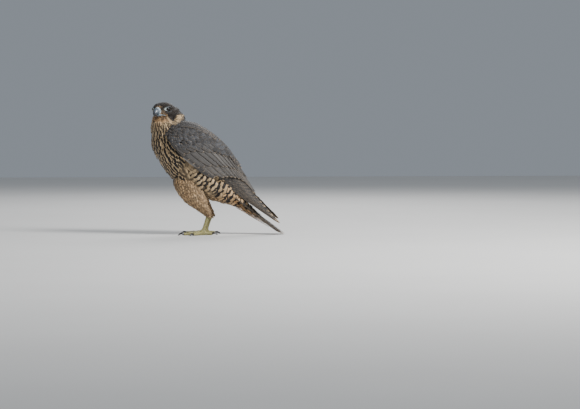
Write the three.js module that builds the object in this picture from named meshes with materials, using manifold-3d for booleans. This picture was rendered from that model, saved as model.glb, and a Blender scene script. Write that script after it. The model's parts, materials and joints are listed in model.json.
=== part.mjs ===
// A juvenile peregrine falcon standing on level ground, head turned over its left shoulder.
// Millimetres: +X is forward, +Y is the bird's left, +Z is up, and the ground is at Z = 0.
import * as THREE from "three";
import { mergeVertices } from "three/addons/utils/BufferGeometryUtils.js";
import Module from "manifold-3d";

const wasm = await Module();
wasm.setup();

const gap = 0.3; // clear air kept between neighbouring pieces
const turn = Math.PI * 2;
const rad = THREE.MathUtils.degToRad;
const { lerp, clamp } = THREE.MathUtils;
const smooth = THREE.MathUtils.smoothstep;

// Trunk, from under the skull to the root of the tail, seen from the side.
// depth and width are half sizes, across the line of the trunk and sideways.
const trunkStations = [
  { x: 89, z: 262, depth: 25, width: 22 },
  { x: 87, z: 249, depth: 31, width: 26 },
  { x: 82, z: 237, depth: 38, width: 31 },
  { x: 68, z: 213, depth: 51.5, width: 43 },
  { x: 45, z: 189.5, depth: 61.5, width: 50 },
  { x: 22, z: 167, depth: 64, width: 51 },
  { x: 2, z: 144.5, depth: 58.5, width: 48 },
  { x: -19, z: 123.5, depth: 48.5, width: 41 },
  { x: -40.5, z: 103.5, depth: 36, width: 32 },
  { x: -61, z: 85.5, depth: 22.5, width: 23 },
  { x: -80, z: 71, depth: 12, width: 16 },
  { x: -94, z: 61, depth: 6, width: 11 },
];
const chestFullness = 0.1; // how much wider the breast side is than the back
const trunkAround = 22;
const trunkRings = 20;

// Where the trunk is parted: a point on each cut, in the side view.
const neckCut = { x: 86, z: 245, lean: 22 };
const shoulderCut = { x: 76, z: 226, lean: 32 };
const tailCut = { x: -57, z: 89, lean: 50 };

// The head, in its own frame: forward is its length, up its height.
const head = { x: 90, y: 3, z: 270, yaw: 56, pitch: -3 };
const headStations = [
  { f: -32, top: -2, bottom: -9, width: 6 },
  { f: -27.5, top: 8, bottom: -17, width: 16 },
  { f: -19, top: 15, bottom: -22, width: 22.5 },
  { f: -9, top: 18.6, bottom: -23, width: 25.5 },
  { f: 0, top: 19.6, bottom: -21.5, width: 25.5 },
  { f: 8, top: 18.4, bottom: -18.5, width: 23 },
  { f: 15.5, top: 14.8, bottom: -15, width: 17.8 },
  { f: 21, top: 10.6, bottom: -12, width: 12.6 },
  { f: 25, top: 7.4, bottom: -10, width: 9.2 },
];
const eye = { f: 9.5, l: 16.2, h: 3.6, radius: 7 };
const brow = { f: 9, h: 12.2, reach: 9, long: 1.6, proud: 2.6 };
const socket = { reach: 8.5, deep: 2.4 };
const lids = { ring: 0.9, thick: 1.25, long: 1.12, tall: 0.92, ahead: 0.5, out: 0.42 }; // shares of the eye
const napes = [ // the hunched back of the neck
  { x: 67, y: -2, z: 254, long: 22, wide: 22, high: 19 },
  { x: 72, y: -4, z: 264, long: 19, wide: 20, high: 17 },
];
const skull = { rings: 15, around: 24, midline: 8 }; // the swell fades in over midline

// The bill: cere, hooked upper mandible with its tooth, and the lower mandible.
const billStations = [
  { f: 23, h: -0.8, tall: 7.7, width: 8.2 },
  { f: 27, h: -1.6, tall: 6.9, width: 7.3 },
  { f: 30.2, h: -2.6, tall: 6, width: 6.2 },
  { f: 33.2, h: -4.2, tall: 5, width: 5 },
  { f: 35.8, h: -6.8, tall: 3.7, width: 3.8 },
  { f: 37.3, h: -10.2, tall: 2.3, width: 2.4 },
  { f: 37.4, h: -14.2, tall: 0.7, width: 0.8 },
];
const tooth = { at: 0.7, long: 0.05, deep: 1.1 };
const cereEnd = 28.4;
const nostril = { f: 26.2, h: 0.4, radius: 1.15, deep: 3.4, peg: 0.42, pegLong: 4.4 };
const lowerBill = [
  { f: 20, h: -10.4, tall: 2.4, width: 8 },
  { f: 26, h: -10.5, tall: 2.2, width: 6.2 },
  { f: 30.5, h: -10.2, tall: 1.9, width: 4.4 },
  { f: 34, h: -9.6, tall: 1, width: 2.2 },
];
const gape = { from: 24.5, to: 13, h: -8.9, droop: 0.9, radius: 0.45 };

// The folded wing's outer face, station by station from the wrist to the tip.
// low is its lower edge and top its upper edge; corner tells how far up it turns in.
const wingStations = [
  { lowX: 88, lowZ: 221, lowY: 41, topX: 80, topZ: 233, topY: 36, corner: 0.5 },
  { lowX: 79, lowZ: 203, lowY: 51, topX: 47, topZ: 244, topY: 29, corner: 0.7 },
  { lowX: 64, lowZ: 184, lowY: 56.5, topX: 12, topZ: 236, topY: 25, corner: 0.85 },
  { lowX: 45, lowZ: 164, lowY: 58, topX: -18, topZ: 218.5, topY: 19, corner: 0.92 },
  { lowX: 23, lowZ: 145, lowY: 57, topX: -46, topZ: 193.5, topY: 13, corner: 0.92 },
  { lowX: 0, lowZ: 129, lowY: 52, topX: -67, topZ: 166, topY: 9, corner: 0.9 },
  { lowX: -25, lowZ: 115, lowY: 45, topX: -87, topZ: 137, topY: 7, corner: 0.85 },
  { lowX: -52, lowZ: 98, lowY: 37.5, topX: -103, topZ: 112, topY: 6.5, corner: 0.8 },
  { lowX: -80, lowZ: 78.5, lowY: 31, topX: -117, topZ: 88, topY: 6.5, corner: 0.75 },
  { lowX: -107, lowZ: 60, lowY: 26, topX: -134, topZ: 69, topY: 8, corner: 0.65 },
  { lowX: -134, lowZ: 42, lowY: 21, topX: -150, topZ: 49, topY: 10, corner: 0.55 },
  { lowX: -163, lowZ: 23, lowY: 15.5, topX: -165, topZ: 28, topY: 12, corner: 0.5 },
];
const wingDepth = { body: 12.2, tip: 4.6 }; // stack of feathers, inwards from the outer face
const rightTipRise = 9; // the right wing lies a little higher than the left

// Feathers: u and w are shares of the wing's length and of its height at that place.
// Each tier is a row from the lower edge to the back, and root and tip are lines that it follows.
const vane = {
  thick: 0.8, // at the shaft
  edge: 0.5,
  apart: 0.35, // air between two that lie one on the other
  root: 0.8, // how deep its root lies in the arm
  narrow: 0.6, full: 0.3, blunt: 0.012, round: 3.4, sharp: 1.7, // shape of the outline
  grid: 0.1, ends: [0, 0.88, 0.97, 1], // places along it where it may bend
};
const bed = { rings: 20, across: 6 }; // steps along and across the wing's faces
const arm = { rings: 10, lift: -4.4 }; // the fleshy arm and hand, under the feathers
const tiers = {
  primaries: {
    count: 7, half: 7.4, layer: -4.5, pointed: 0.8, spread: 12, stacked: true,
    root: [{ u: 0.43, w: 0.1 }, { u: 0.45, w: 0.28 }, { u: 0.46, w: 0.44 }],
    tip: [
      { u: 1, w: 0.3 }, { u: 0.985, w: 0.5 }, { u: 0.9, w: 0.5 }, { u: 0.76, w: 0.5 }, { u: 0.65, w: 0.45 },
    ],
  },
  secondaries: {
    count: 7, half: 7.4, layer: -2.6, pointed: 0.45, spread: 8.4,
    root: [{ u: 0.3, w: 0.12 }, { u: 0.34, w: 0.5 }, { u: 0.4, w: 0.88 }],
    tip: [{ u: 0.5, w: 0.1 }, { u: 0.54, w: 0.32 }, { u: 0.59, w: 0.6 }, { u: 0.7, w: 0.88 }],
  },
  greaterCoverts: {
    count: 7, half: 6.4, layer: -0.8, pointed: 0.4, spread: 8.4,
    root: [{ u: 0.22, w: 0.12 }, { u: 0.29, w: 0.5 }, { u: 0.38, w: 0.9 }],
    tip: [{ u: 0.385, w: 0.1 }, { u: 0.45, w: 0.36 }, { u: 0.51, w: 0.64 }, { u: 0.585, w: 0.9 }],
  },
  medianCoverts: {
    count: 6, half: 6.6, layer: 0.9, pointed: 0.4, spread: 9.6,
    root: [{ u: 0.13, w: 0.14 }, { u: 0.21, w: 0.5 }, { u: 0.31, w: 0.9 }],
    tip: [{ u: 0.235, w: 0.12 }, { u: 0.34, w: 0.42 }, { u: 0.43, w: 0.68 }, { u: 0.475, w: 0.9 }],
  },
};
const tipRise = 9.2; // how far the stack of primaries comes out towards the wing's thin tip
const handCoverts = { count: 3, half: 4.4, layer: -0.2, w: 0.07, from: 0.2, to: 0.5, long: 0.15 };

// The tail: a line in the side view, and the closed fan across it.
const tail = { x: -62, z: 86.5, drop: 36.5, length: 142 };
const tailRoom = { from: -0.02, to: 1.04, rootWidth: 13, endWidth: 24, high: 7, sunk: 3 };
const rectrices = {
  pairs: 6, half: 8.8, shorter: 0.5, out: 2.1, inner: 0.6, middle: 0.55, folded: 0.3, open: 0.9, droop: 0.03,
};
const underCoverts = {
  count: 7, half: 7, long: 58, reach: 46, apart: 4.4, shorter: 9, rootLift: -15.5, endLift: -10, step: 1.25,
};

// Legs and feet. side is +1 on the bird's left.
const legs = [
  { name: "left", side: 1, x: 6, y: 24, splay: 8 },
  { name: "right", side: -1, x: -4, y: 24, splay: 8 },
];
const thighStations = [
  { x: 44, z: 140, depth: 24, width: 14 },
  { x: 38, z: 118, depth: 30, width: 18.5 },
  { x: 26, z: 95, depth: 27, width: 18.5 },
  { x: 10, z: 73, depth: 18.5, width: 14.5 },
  { x: -5, z: 55, depth: 10.5, width: 9.5 },
  { x: -13, z: 44, depth: 6, width: 6.5 },
];
const tarsus = { top: 56, back: -18, radii: [4.6, 4.2, 3.5, 3.5, 4.8] };
const foot = { height: 6, radius: 7.2, top: 11.5 };
const toes = [
  { name: "middle", heading: 4, length: 43, radius: 3.9, joints: 3 },
  { name: "inner", heading: -34, length: 28, radius: 4, joints: 2 },
  { name: "outer", heading: 40, length: 33, radius: 3.5, joints: 3 },
  { name: "hind", heading: 172, length: 20, radius: 4, joints: 1 },
];
const toeTaper = { root: 1.12, end: 0.72, pad: 0.2 };
const talon = { length: 12.5, radius: 2.3, arch: 1.6, taper: [1, 0.95, 0.8, 0.55, 0.2], point: 0.4 };

const v3 = (x, y, z) => new THREE.Vector3(x, y, z);

// A smooth run through a table of stations: the result gives every column at a share of the way.
function runThrough(stations) {
  const keys = Object.keys(stations[0]);
  const curves = keys.map(
    (key) => new THREE.SplineCurve(stations.map((s, i) => new THREE.Vector2(i, s[key]))),
  );
  return (share) =>
    Object.fromEntries(keys.map((key, i) => [key, curves[i].getPoint(share).y]));
}

// A closed skin over rings with the same number of points, with a fan at each end.
// mirrored splits both faces of a thin vane into like triangles.
function skinOver(rings, mirrored = false) {
  const around = rings[0].length;
  const points = rings.flat();
  const faces = [];
  for (let i = 0; i + 1 < rings.length; i++)
    for (let j = 0; j < around; j++) {
      const a = i * around + j;
      const b = i * around + ((j + 1) % around);
      const c = a + around;
      const d = b + around;
      if (mirrored && j >= around / 2) faces.push(a, b, c, b, d, c);
      else faces.push(a, b, d, a, d, c);
    }
  const middle = (ring) => ring.reduce((sum, p) => sum.add(p), v3(0, 0, 0)).divideScalar(around);
  const last = (rings.length - 1) * around;
  points.push(middle(rings[0]), middle(rings[rings.length - 1]));
  for (let j = 0; j < around; j++) {
    faces.push((j + 1) % around, j, points.length - 2);
    faces.push(last + j, last + ((j + 1) % around), points.length - 1);
  }
  const shape = new THREE.BufferGeometry().setFromPoints(points).setIndex(faces);
  return solidOf(shape);
}

// A three.js geometry as a solid, turned the right way out.
function solidOf(geometry) {
  const bare = geometry.clone();
  bare.deleteAttribute("normal");
  bare.deleteAttribute("uv");
  const merged = mergeVertices(bare, 1e-4);
  const make = (triVerts) =>
    new wasm.Manifold(
      new wasm.Mesh({ numProp: 3, vertProperties: merged.attributes.position.array, triVerts }),
    );
  const solid = make(new Uint32Array(merged.index.array));
  return solid.volume() > 0 ? solid : make(new Uint32Array(merged.index.array).reverse());
}

const joined = (solids) => solids.reduce((sum, next) => sum.add(next));
const cutBy = (solid, others) => others.reduce((left, other) => left.subtract(other), solid);
const largest = (solid) =>
  solid.decompose().reduce((best, next) => (next.volume() > best.volume() ? next : best));

// A round-sectioned tube along a list of points, radius by radius.
function taperedTube(path, radii, around) {
  const curve = new THREE.CatmullRomCurve3(path);
  const steps = radii.length - 1;
  const frames = curve.computeFrenetFrames(steps, false);
  return skinOver(
    radii.map((radius, i) => {
      const centre = curve.getPointAt(i / steps);
      return Array.from({ length: around }, (_, j) => {
        const angle = (turn * j) / around;
        return centre
          .clone()
          .addScaledVector(frames.normals[i], radius * Math.cos(angle))
          .addScaledVector(frames.binormals[i], radius * Math.sin(angle));
      });
    }),
  );
}

// Keeps the side of a cut across the trunk that lies further from the head, or nearer to it.
function trimAcross(solid, cut, keepNear, clear) {
  const away = v3(-Math.cos(rad(90 - cut.lean)), 0, -Math.sin(rad(90 - cut.lean)));
  const offset = away.dot(v3(cut.x, 0, cut.z));
  return keepNear
    ? solid.trimByPlane([-away.x, 0, -away.z], -offset + clear / 2)
    : solid.trimByPlane([away.x, 0, away.z], offset + clear / 2);
}

const trunkAt = runThrough(trunkStations);

// A point on the trunk: angle 0 is the breast side and half a turn is the back.
function trunkPoint(share, angle, lift) {
  const here = trunkAt(share);
  const before = trunkAt(Math.max(0, share - 0.01));
  const after = trunkAt(Math.min(1, share + 0.01));
  const along = new THREE.Vector2(after.x - before.x, after.z - before.z).normalize();
  const out = (here.depth + lift) * Math.cos(angle);
  const aside = (here.width + lift) * Math.sin(angle) * (1 + chestFullness * Math.cos(angle));
  return v3(here.x - along.y * out, aside, here.z + along.x * out);
}

function trunkSolid(lift) {
  return skinOver(
    Array.from({ length: trunkRings + 1 }, (_, i) =>
      Array.from({ length: trunkAround }, (_, j) =>
        trunkPoint(i / trunkRings, (turn * j) / trunkAround, lift),
      ),
    ),
  );
}

// From the head's own frame to the bird's.
const headFrame = new THREE.Matrix4()
  .makeTranslation(head.x, head.y, head.z)
  .multiply(new THREE.Matrix4().makeRotationZ(rad(head.yaw)))
  .multiply(new THREE.Matrix4().makeRotationY(rad(head.pitch)));
const onHead = (f, l, h) => v3(f, l, h).applyMatrix4(headFrame);

function headSolid() {
  const at = runThrough(headStations);
  const { rings, around, midline } = skull;
  return skinOver(
    Array.from({ length: rings + 1 }, (_, i) => {
      const here = at(i / rings);
      const middle = (here.top + here.bottom) / 2;
      const half = (here.top - here.bottom) / 2;
      return Array.from({ length: around }, (_, j) => {
        const angle = (turn * j) / around;
        const h = middle + half * Math.sin(angle);
        let l = here.width * Math.cos(angle);
        const toBrow = Math.hypot((here.f - brow.f) / brow.long, h - brow.h) / brow.reach;
        const toEye = Math.hypot(here.f - eye.f, h - eye.h) / socket.reach;
        const out = brow.proud * Math.max(0, 1 - toBrow ** 2);
        const inwards = socket.deep * Math.max(0, 1 - toEye ** 2);
        l += Math.sign(l) * (out - inwards) * Math.min(1, Math.abs(l) / midline);
        return onHead(here.f, l, h);
      });
    }),
  );
}

// A round ball with the given number of steps about it.
const ball = (radius, detail) => solidOf(new THREE.SphereGeometry(radius, detail, detail / 2));
const placed = (solid, matrix) => solid.transform(matrix.elements);

function napeSolid({ x, y, z, long, wide, high }) {
  return placed(ball(1, 20), new THREE.Matrix4().makeScale(long, wide, high).setPosition(x, y, z));
}

const eyeMatrix = (side) =>
  headFrame.clone().multiply(new THREE.Matrix4().makeTranslation(eye.f, side * eye.l, eye.h));

function eyeSolid(side, clear) {
  return placed(ball(eye.radius + clear, 16), eyeMatrix(side));
}

// The two lids as one ring round the eye, a little pointed towards the bill.
function lidSolid(side) {
  const ring = new THREE.TorusGeometry(eye.radius * lids.ring, lids.thick, 5, 16);
  ring.rotateX(Math.PI / 2);
  ring.scale(lids.long, 1, lids.tall);
  ring.translate(lids.ahead, side * eye.radius * lids.out, 0);
  return placed(solidOf(ring), eyeMatrix(side));
}

// A piece of the bill through its stations, grown by clear all over.
function billPiece(stations, rings, around, clear, toothed = 0) {
  const at = runThrough(stations);
  return skinOver(
    Array.from({ length: rings + 1 }, (_, i) => {
      const share = i / rings;
      const here = at(share);
      const before = at(Math.max(0, share - 0.02));
      const after = at(Math.min(1, share + 0.02));
      const along = new THREE.Vector2(after.f - before.f, after.h - before.h).normalize();
      const notch = toothed * tooth.deep * Math.exp(-(((share - tooth.at) / tooth.long) ** 2));
      return Array.from({ length: around }, (_, j) => {
        const angle = (turn * j) / around;
        const up = (here.tall + clear) * Math.sin(angle) - (Math.sin(angle) < -0.5 ? notch : 0);
        const aside = (here.width + clear) * Math.cos(angle);
        return onHead(here.f - along.y * up, aside, here.h + along.x * up);
      });
    }),
  );
}

// The pits of both nostrils, each round a small peg.
function nostrilPits() {
  const pit = new THREE.CylinderGeometry(nostril.radius, nostril.radius, nostril.deep, 10);
  const peg = new THREE.CylinderGeometry(nostril.peg, nostril.peg, nostril.pegLong, 6);
  const wide = billStations[1].width;
  return [1, -1].map((side) => {
    const move = new THREE.Matrix4().makeTranslation(nostril.f, side * wide, nostril.h);
    return placed(solidOf(pit).subtract(solidOf(peg)), headFrame.clone().multiply(move));
  });
}

// The line of the mouth, run back from the bill along each cheek.
function gapeGroove(side) {
  const at = runThrough(headStations);
  const path = [0, 0.5, 1].map((share) => {
    const f = lerp(gape.from, gape.to, share);
    const h = gape.h - gape.droop * share;
    let low = 0;
    let high = 1;
    for (let i = 0; i < 24; i++) {
      const half = (low + high) / 2;
      if (at(half).f < f) low = half;
      else high = half;
    }
    const here = at(low);
    const level = (h - (here.top + here.bottom) / 2) / ((here.top - here.bottom) / 2);
    return onHead(f, side * here.width * Math.sqrt(1 - level ** 2), h);
  });
  return taperedTube(path, [1, 1, 0.5].map((share) => share * gape.radius), 6);
}

// A point on the outer face of the left wing: u runs to the tip and w from the lower edge up.
const wingAt = runThrough(wingStations);
function wingFace(u, w) {
  const s = wingAt(clamp(u, 0, 1));
  const low = v3(s.lowX, s.lowY, s.lowZ);
  const top = v3(s.topX, s.topY, s.topZ);
  const bend = v3(lerp(s.lowX, s.topX, s.corner), s.lowY, lerp(s.lowZ, s.topZ, s.corner));
  return new THREE.QuadraticBezierCurve3(low, bend, top).getPoint(w);
}

// The same point lifted off the face, for either wing, and moved on towards the tip or the back.
function wingPoint(side, u, w, lift, on = 0, up = 0) {
  const step = 0.004;
  const along = wingFace(Math.min(1, u + step), w).sub(wingFace(Math.max(0, u - step), w));
  const across = wingFace(u, w + step).sub(wingFace(u, w - step));
  const out = along.clone().cross(across).normalize();
  const p = wingFace(u, w)
    .addScaledVector(out, out.y < 0 ? -lift : lift)
    .addScaledVector(along.normalize(), on)
    .addScaledVector(across.normalize(), up);
  const rise = side < 0 ? rightTipRise * smooth(u, 0.45, 1) : 0;
  return v3(p.x, side * p.y, p.z + rise);
}

const stackDepth = (u) => lerp(wingDepth.body, wingDepth.tip, smooth(u, 0.45, 1));

// The room that a folded wing takes, from its inner face out past the feathers.
function wingBed(side, clear, outside) {
  const { rings, across } = bed;
  const edge = (i, count) => 2 * (i === 0 ? -clear : i === count ? clear : 0);
  return skinOver(
    Array.from({ length: rings + 1 }, (_, i) => {
      const u = i / rings;
      const row = (lift) =>
        Array.from({ length: across + 1 }, (_, j) =>
          wingPoint(side, u, j / across, lift, edge(i, rings), edge(j, across)),
        );
      return [...row(-stackDepth(u) - clear), ...row(outside).reverse()];
    }),
  );
}

// The fleshy arm and hand under the feathers, lower where the tiers of vanes cover it.
function wingArm(side) {
  const { across } = bed;
  return skinOver(
    Array.from({ length: arm.rings + 1 }, (_, i) => {
      const u = i / bed.rings;
      const thin = 1 - 0.45 * smooth(i / arm.rings, 0.7, 1);
      const row = (lift) =>
        Array.from({ length: across + 1 }, (_, j) => wingPoint(side, u, j / across, lift(j / across)));
      const covered = (w) => smooth(u - lerp(0.16, 0.4, w), -0.06, 0.08);
      return [...row(() => -stackDepth(u) * thin), ...row((w) => arm.lift * covered(w)).reverse()];
    }),
  );
}

// A closed blade through rows of three places: its lower edge, its shaft and its upper edge.
function blade(rows) {
  return skinOver(rows.map(({ over, under }) => [...over, ...under.reverse()]), true);
}

// How wide a feather is at a share of its length, from a narrow root to a rounded or pointed tip.
function outline(t, pointed) {
  const from = pointed * vane.narrow;
  const onward = clamp((t - from) / (1 - from), 0, 1) ** lerp(vane.round, vane.sharp, pointed);
  return lerp(vane.narrow, 1, smooth(t, 0, vane.full)) * Math.sqrt(Math.max(vane.blunt, 1 - onward));
}

// One feather laid on the wing from its root to its tip, its upper edge tucked under the next.
function wingVane(side, root, tip, half, layer, lean, pointed) {
  const grid = Array.from({ length: 1 / vane.grid + 1 }, (_, i) => i * vane.grid);
  const bends = grid.map((u) => (u - root.u) / (tip.u - root.u));
  const inside = bends.filter((t) => t > vane.ends[0] + 0.1 && t < vane.ends[1] - 0.04);
  const stops = [...vane.ends, ...inside].sort((a, b) => a - b);
  return blade(
    stops.map((t) => {
      const u = lerp(root.u, tip.u, t);
      const w = lerp(root.w, tip.w, t);
      const s = wingAt(clamp(u, 0, 1));
      const span = Math.hypot(s.lowX - s.topX, s.lowY - s.topY, s.lowZ - s.topZ);
      const sunk = (layer(u) - arm.lift + vane.root) * (1 - smooth(t, 0, vane.full));
      const place = (a, face) => {
        const thick = a === 0 ? vane.thick : vane.edge;
        const reach = a * half * outline(t, pointed);
        const lift = layer(u) - lean * reach - sunk + (face * thick) / 2;
        return wingPoint(side, u, clamp(w + reach / span, 0.01, 0.99), lift);
      };
      return { over: [-1, 0, 1].map((a) => place(a, 1)), under: [-1, 0, 1].map((a) => place(a, -1)) };
    }),
  );
}

// The folded wing: the arm with its tiers of feathers, each row lapping like roof tiles.
// The long primaries lie one on another instead, the outermost of them lowest.
function wingSolid(side) {
  const step = vane.thick + vane.apart;
  const feathers = Object.values(tiers).flatMap((tier) => {
    const { root, tip, count, spread, half, pointed, layer, stacked } = tier;
    const rootAt = runThrough(root);
    const tipAt = runThrough(tip);
    return Array.from({ length: count }, (_, k) => {
      const share = k / (count - 1);
      const under = stacked ? step * (count - 1 - k) : 0;
      const lift = (u) => layer - under + (stacked ? tipRise * smooth(u, 0.55, 1) : 0);
      return wingVane(side, rootAt(share), tipAt(share), half, lift, step / spread, pointed);
    });
  });
  const hand = Array.from({ length: handCoverts.count }, (_, k) => {
    const { w, half, layer, long, from, to, count } = handCoverts;
    const end = lerp(from + long, to, k / (count - 1));
    return wingVane(side, { u: end - long, w }, { u: end, w }, half, () => layer - 0.5 * k, 0.02, 0.5);
  });
  return wasm.Manifold.union([wingArm(side), ...feathers, ...hand]);
}

// A point on the tail: s runs from its root to its end, aside is to the left, lift is off its line.
function tailPoint(s, aside, lift) {
  const drop = rad(tail.drop);
  const out = tail.length * s;
  return v3(
    tail.x - Math.cos(drop) * out - Math.sin(drop) * lift,
    aside,
    tail.z - Math.sin(drop) * out + Math.cos(drop) * lift,
  );
}

// The room of the closed tail, grown by clear all over.
function tailBed(clear) {
  const rings = 8;
  const around = 14;
  return skinOver(
    Array.from({ length: rings + 1 }, (_, i) => {
      const s = lerp(tailRoom.from, tailRoom.to, i / rings);
      const spread = smooth(s, 0, rectrices.open);
      const half = lerp(tailRoom.rootWidth, tailRoom.endWidth, spread) + clear;
      return Array.from({ length: around }, (_, j) => {
        const angle = (turn * j) / around;
        const lift = (tailRoom.high + clear) * Math.sin(angle) - tailRoom.sunk;
        return tailPoint(s, half * Math.cos(angle), lift);
      });
    }),
  );
}

// One feather of the tail or under it, along a line of places from root to tip.
function tailVane(stops, half, pointed, place) {
  return blade(
    stops.map((t) => {
      const face = (a, way) => {
        const thick = a === 0 ? vane.thick : vane.edge;
        const { s, aside, lift } = place(t, half * outline(t, pointed) * a);
        return tailPoint(s, aside, lift + (way * thick) / 2);
      };
      return { over: [-1, 0, 1].map((a) => face(a, 1)), under: [-1, 0, 1].map((a) => face(a, -1)) };
    }),
  );
}

// The closed tail: the middle pair on top and each next feather a little under and outside it.
// The left one of the middle pair lies over the right one.
function tailFeathers() {
  const { pairs, half, shorter, out, inner, middle, folded, open, droop } = rectrices;
  const step = vane.thick + vane.apart;
  return [1, -1].flatMap((side) =>
    Array.from({ length: pairs }, (_, k) => {
      const reach = 1 - (shorter * k * k) / tail.length;
      const depth = k === 0 ? (side < 0 ? 1 : 0) : k + 1;
      return tailVane([0, 0.2, 0.6, 0.88, 0.965, 1], half, 0.3, (t, a) => {
        const fan = lerp(folded, 1, smooth(t, 0, open));
        const centre = k === 0 ? half * middle : half + inner / fan + out * k;
        return { s: t * reach, aside: side * fan * (centre + a), lift: -step * depth - droop * a };
      });
    }),
  );
}

// Broad soft feathers under the root of the tail, the middle one lowest and longest.
function tailCoverts() {
  const { count, half, long, reach, apart, shorter, rootLift, endLift, step } = underCoverts;
  return Array.from({ length: count }, (_, k) => {
    const aside = k - (count - 1) / 2;
    const from = Math.abs(aside);
    const end = (reach + long - shorter * from) / tail.length;
    return tailVane([0, 0.4, 0.8, 0.95, 1], half, 0.5, (t, a) => {
      const s = lerp(end - long / tail.length, end, t);
      return { s, aside: aside * apart + a, lift: lerp(rootLift, endLift, t) + step * from + 0.02 * a };
    });
  });
}

// A thigh in its trousers of feathers, grown from the flank down to the ankle.
function thighSolid(leg, clear) {
  const at = runThrough(thighStations);
  const rings = 10;
  const around = 16;
  return skinOver(
    Array.from({ length: rings + 1 }, (_, i) => {
      const share = i / rings;
      const here = at(share);
      const before = at(Math.max(0, share - 0.02));
      const after = at(Math.min(1, share + 0.02));
      const along = new THREE.Vector2(after.x - before.x, after.z - before.z).normalize();
      return Array.from({ length: around }, (_, j) => {
        const angle = (turn * j) / around;
        const out = (here.depth + clear) * Math.cos(angle);
        const aside = (here.width + clear) * Math.sin(angle);
        const x = here.x - along.y * out + leg.x * share;
        return v3(x, leg.side * (leg.y + aside), here.z + along.x * out);
      });
    }),
  );
}

const footFrame = (leg) =>
  new THREE.Matrix4()
    .makeTranslation(leg.x, leg.side * leg.y, 0)
    .multiply(new THREE.Matrix4().makeRotationZ(rad(leg.side * leg.splay)));

function tarsusSolid(leg) {
  const top = v3(leg.x + tarsus.back, leg.side * leg.y, tarsus.top);
  const base = v3(leg.x, leg.side * leg.y, foot.height);
  const middle = top.clone().lerp(base, 0.5);
  return taperedTube([top, middle, base], tarsus.radii, 12).trimByPlane([0, 0, 1], foot.top + gap);
}

// Half the thickness of a toe at a share of its length, swollen at its pads.
function toeRadius(toe, share) {
  const pads = 1 + toeTaper.pad * (Math.cos((turn / 2) * toe.joints * share) ** 2 - 0.5);
  return toe.radius * lerp(toeTaper.root, toeTaper.end, share) * pads;
}

// A toe's middle line in the foot's frame, with its pads just pressed on the ground.
function toePath(toe, side) {
  const heading = rad(toe.heading * side);
  return [0, 0.35, 0.7, 1].map((share) =>
    v3(
      Math.cos(heading) * toe.length * share,
      Math.sin(heading) * toe.length * share,
      toe.radius * lerp(toeTaper.root, toeTaper.end, share),
    ),
  );
}

function toeSolid(toe, leg) {
  const radii = Array.from({ length: 8 }, (_, i) => toeRadius(toe, i / 7));
  const path = toePath(toe, leg.side).map((p) => p.applyMatrix4(footFrame(leg)));
  return taperedTube(path, radii, 7);
}

function footSolid(leg) {
  const palm = ball(foot.radius, 10).transform(
    footFrame(leg).multiply(new THREE.Matrix4().makeTranslation(0, 0, foot.height)).elements,
  );
  return joined([palm, ...toes.map((toe) => toeSolid(toe, leg))])
    .trimByPlane([0, 0, 1], 0)
    .trimByPlane([0, 0, -1], -foot.top);
}

// A claw, curved down from just past the end of its toe to the ground.
function talonSolid(toe, leg) {
  const path = toePath(toe, leg.side).map((p) => p.applyMatrix4(footFrame(leg)));
  const start = path[3];
  const onward = new THREE.CatmullRomCurve3(path).getTangent(1);
  const way = onward.clone().setZ(0).normalize();
  const at = (share, height) =>
    start.clone().addScaledVector(way, talon.length * share).setZ(height);
  return taperedTube(
    [start, at(0.4, start.z + talon.arch), at(0.8, start.z * 0.85), at(1, talon.point)],
    talon.taper.map((share) => share * talon.radius),
    6,
  )
    .trimByPlane([0, 0, 1], 0)
    .trimByPlane(onward.toArray(), onward.dot(start) + gap);
}

// Colours of the plain materials.
const finishes = {
  back: { color: 0x4a4742, roughness: 0.75 },
  breast: { color: 0x8a7050, roughness: 0.85 },
  face: { color: 0x3a322b, roughness: 0.8 },
  cere: { color: 0xa9b8bf, roughness: 0.5 },
  horn: { color: 0x5f7080, roughness: 0.4 },
  eye: { color: 0x120c09, roughness: 0.1 },
  leg: { color: 0xb9a34a, roughness: 0.6 },
  claw: { color: 0x17150f, roughness: 0.35 },
};
const materials = Object.fromEntries(
  Object.entries(finishes).map(([name, look]) => [
    name,
    new THREE.MeshStandardMaterial({ ...look, metalness: 0 }),
  ]),
);

function meshOf(name, solid, finish) {
  const { vertProperties, triVerts, numProp } = largest(solid).getMesh();
  const buffer = new THREE.InterleavedBuffer(vertProperties, numProp);
  const geometry = new THREE.BufferGeometry()
    .setAttribute("position", new THREE.InterleavedBufferAttribute(buffer, 3, 0))
    .setIndex(new THREE.BufferAttribute(triVerts, 1));
  const mesh = new THREE.Mesh(geometry, materials[finish]);
  mesh.name = name;
  return mesh;
}

const falcon = new THREE.Group();
const add = (name, solid, finish) => falcon.add(meshOf(name, solid, finish));

const sides = [
  { name: "left", side: 1 },
  { name: "right", side: -1 },
];
const beds = sides.map(({ side }) => wingBed(side, gap, 8));
const upperBill = (clear) => billPiece(billStations, 14, 14, clear, 1);
const mouth = (clear) => billPiece(lowerBill, 6, 10, clear);
const billRoom = upperBill(gap);
const faceRoom = [
  ...sides.map(({ side }) => eyeSolid(side, gap)),
  ...sides.map(({ side }) => gapeGroove(side)),
  billRoom,
  mouth(gap),
];

// Head, neck and trunk are one form, parted by thin cuts.
const lidRings = sides.map(({ side }) => lidSolid(side));
const whole = joined([trunkSolid(0), headSolid(), ...napes.map(napeSolid), ...lidRings]);
const belowHead = trimAcross(whole, neckCut, false, gap);
const belowNeck = trimAcross(belowHead, shoulderCut, false, gap);
add("head", cutBy(trimAcross(whole, neckCut, true, gap), faceRoom), "face");
add("neck", cutBy(trimAcross(belowHead, shoulderCut, true, gap), beds), "breast");
add("torso", cutBy(trimAcross(belowNeck, tailCut, true, gap), beds), "breast");
sides.forEach(({ name, side }) => add("eye_" + name, eyeSolid(side, 0), "eye"));

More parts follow.
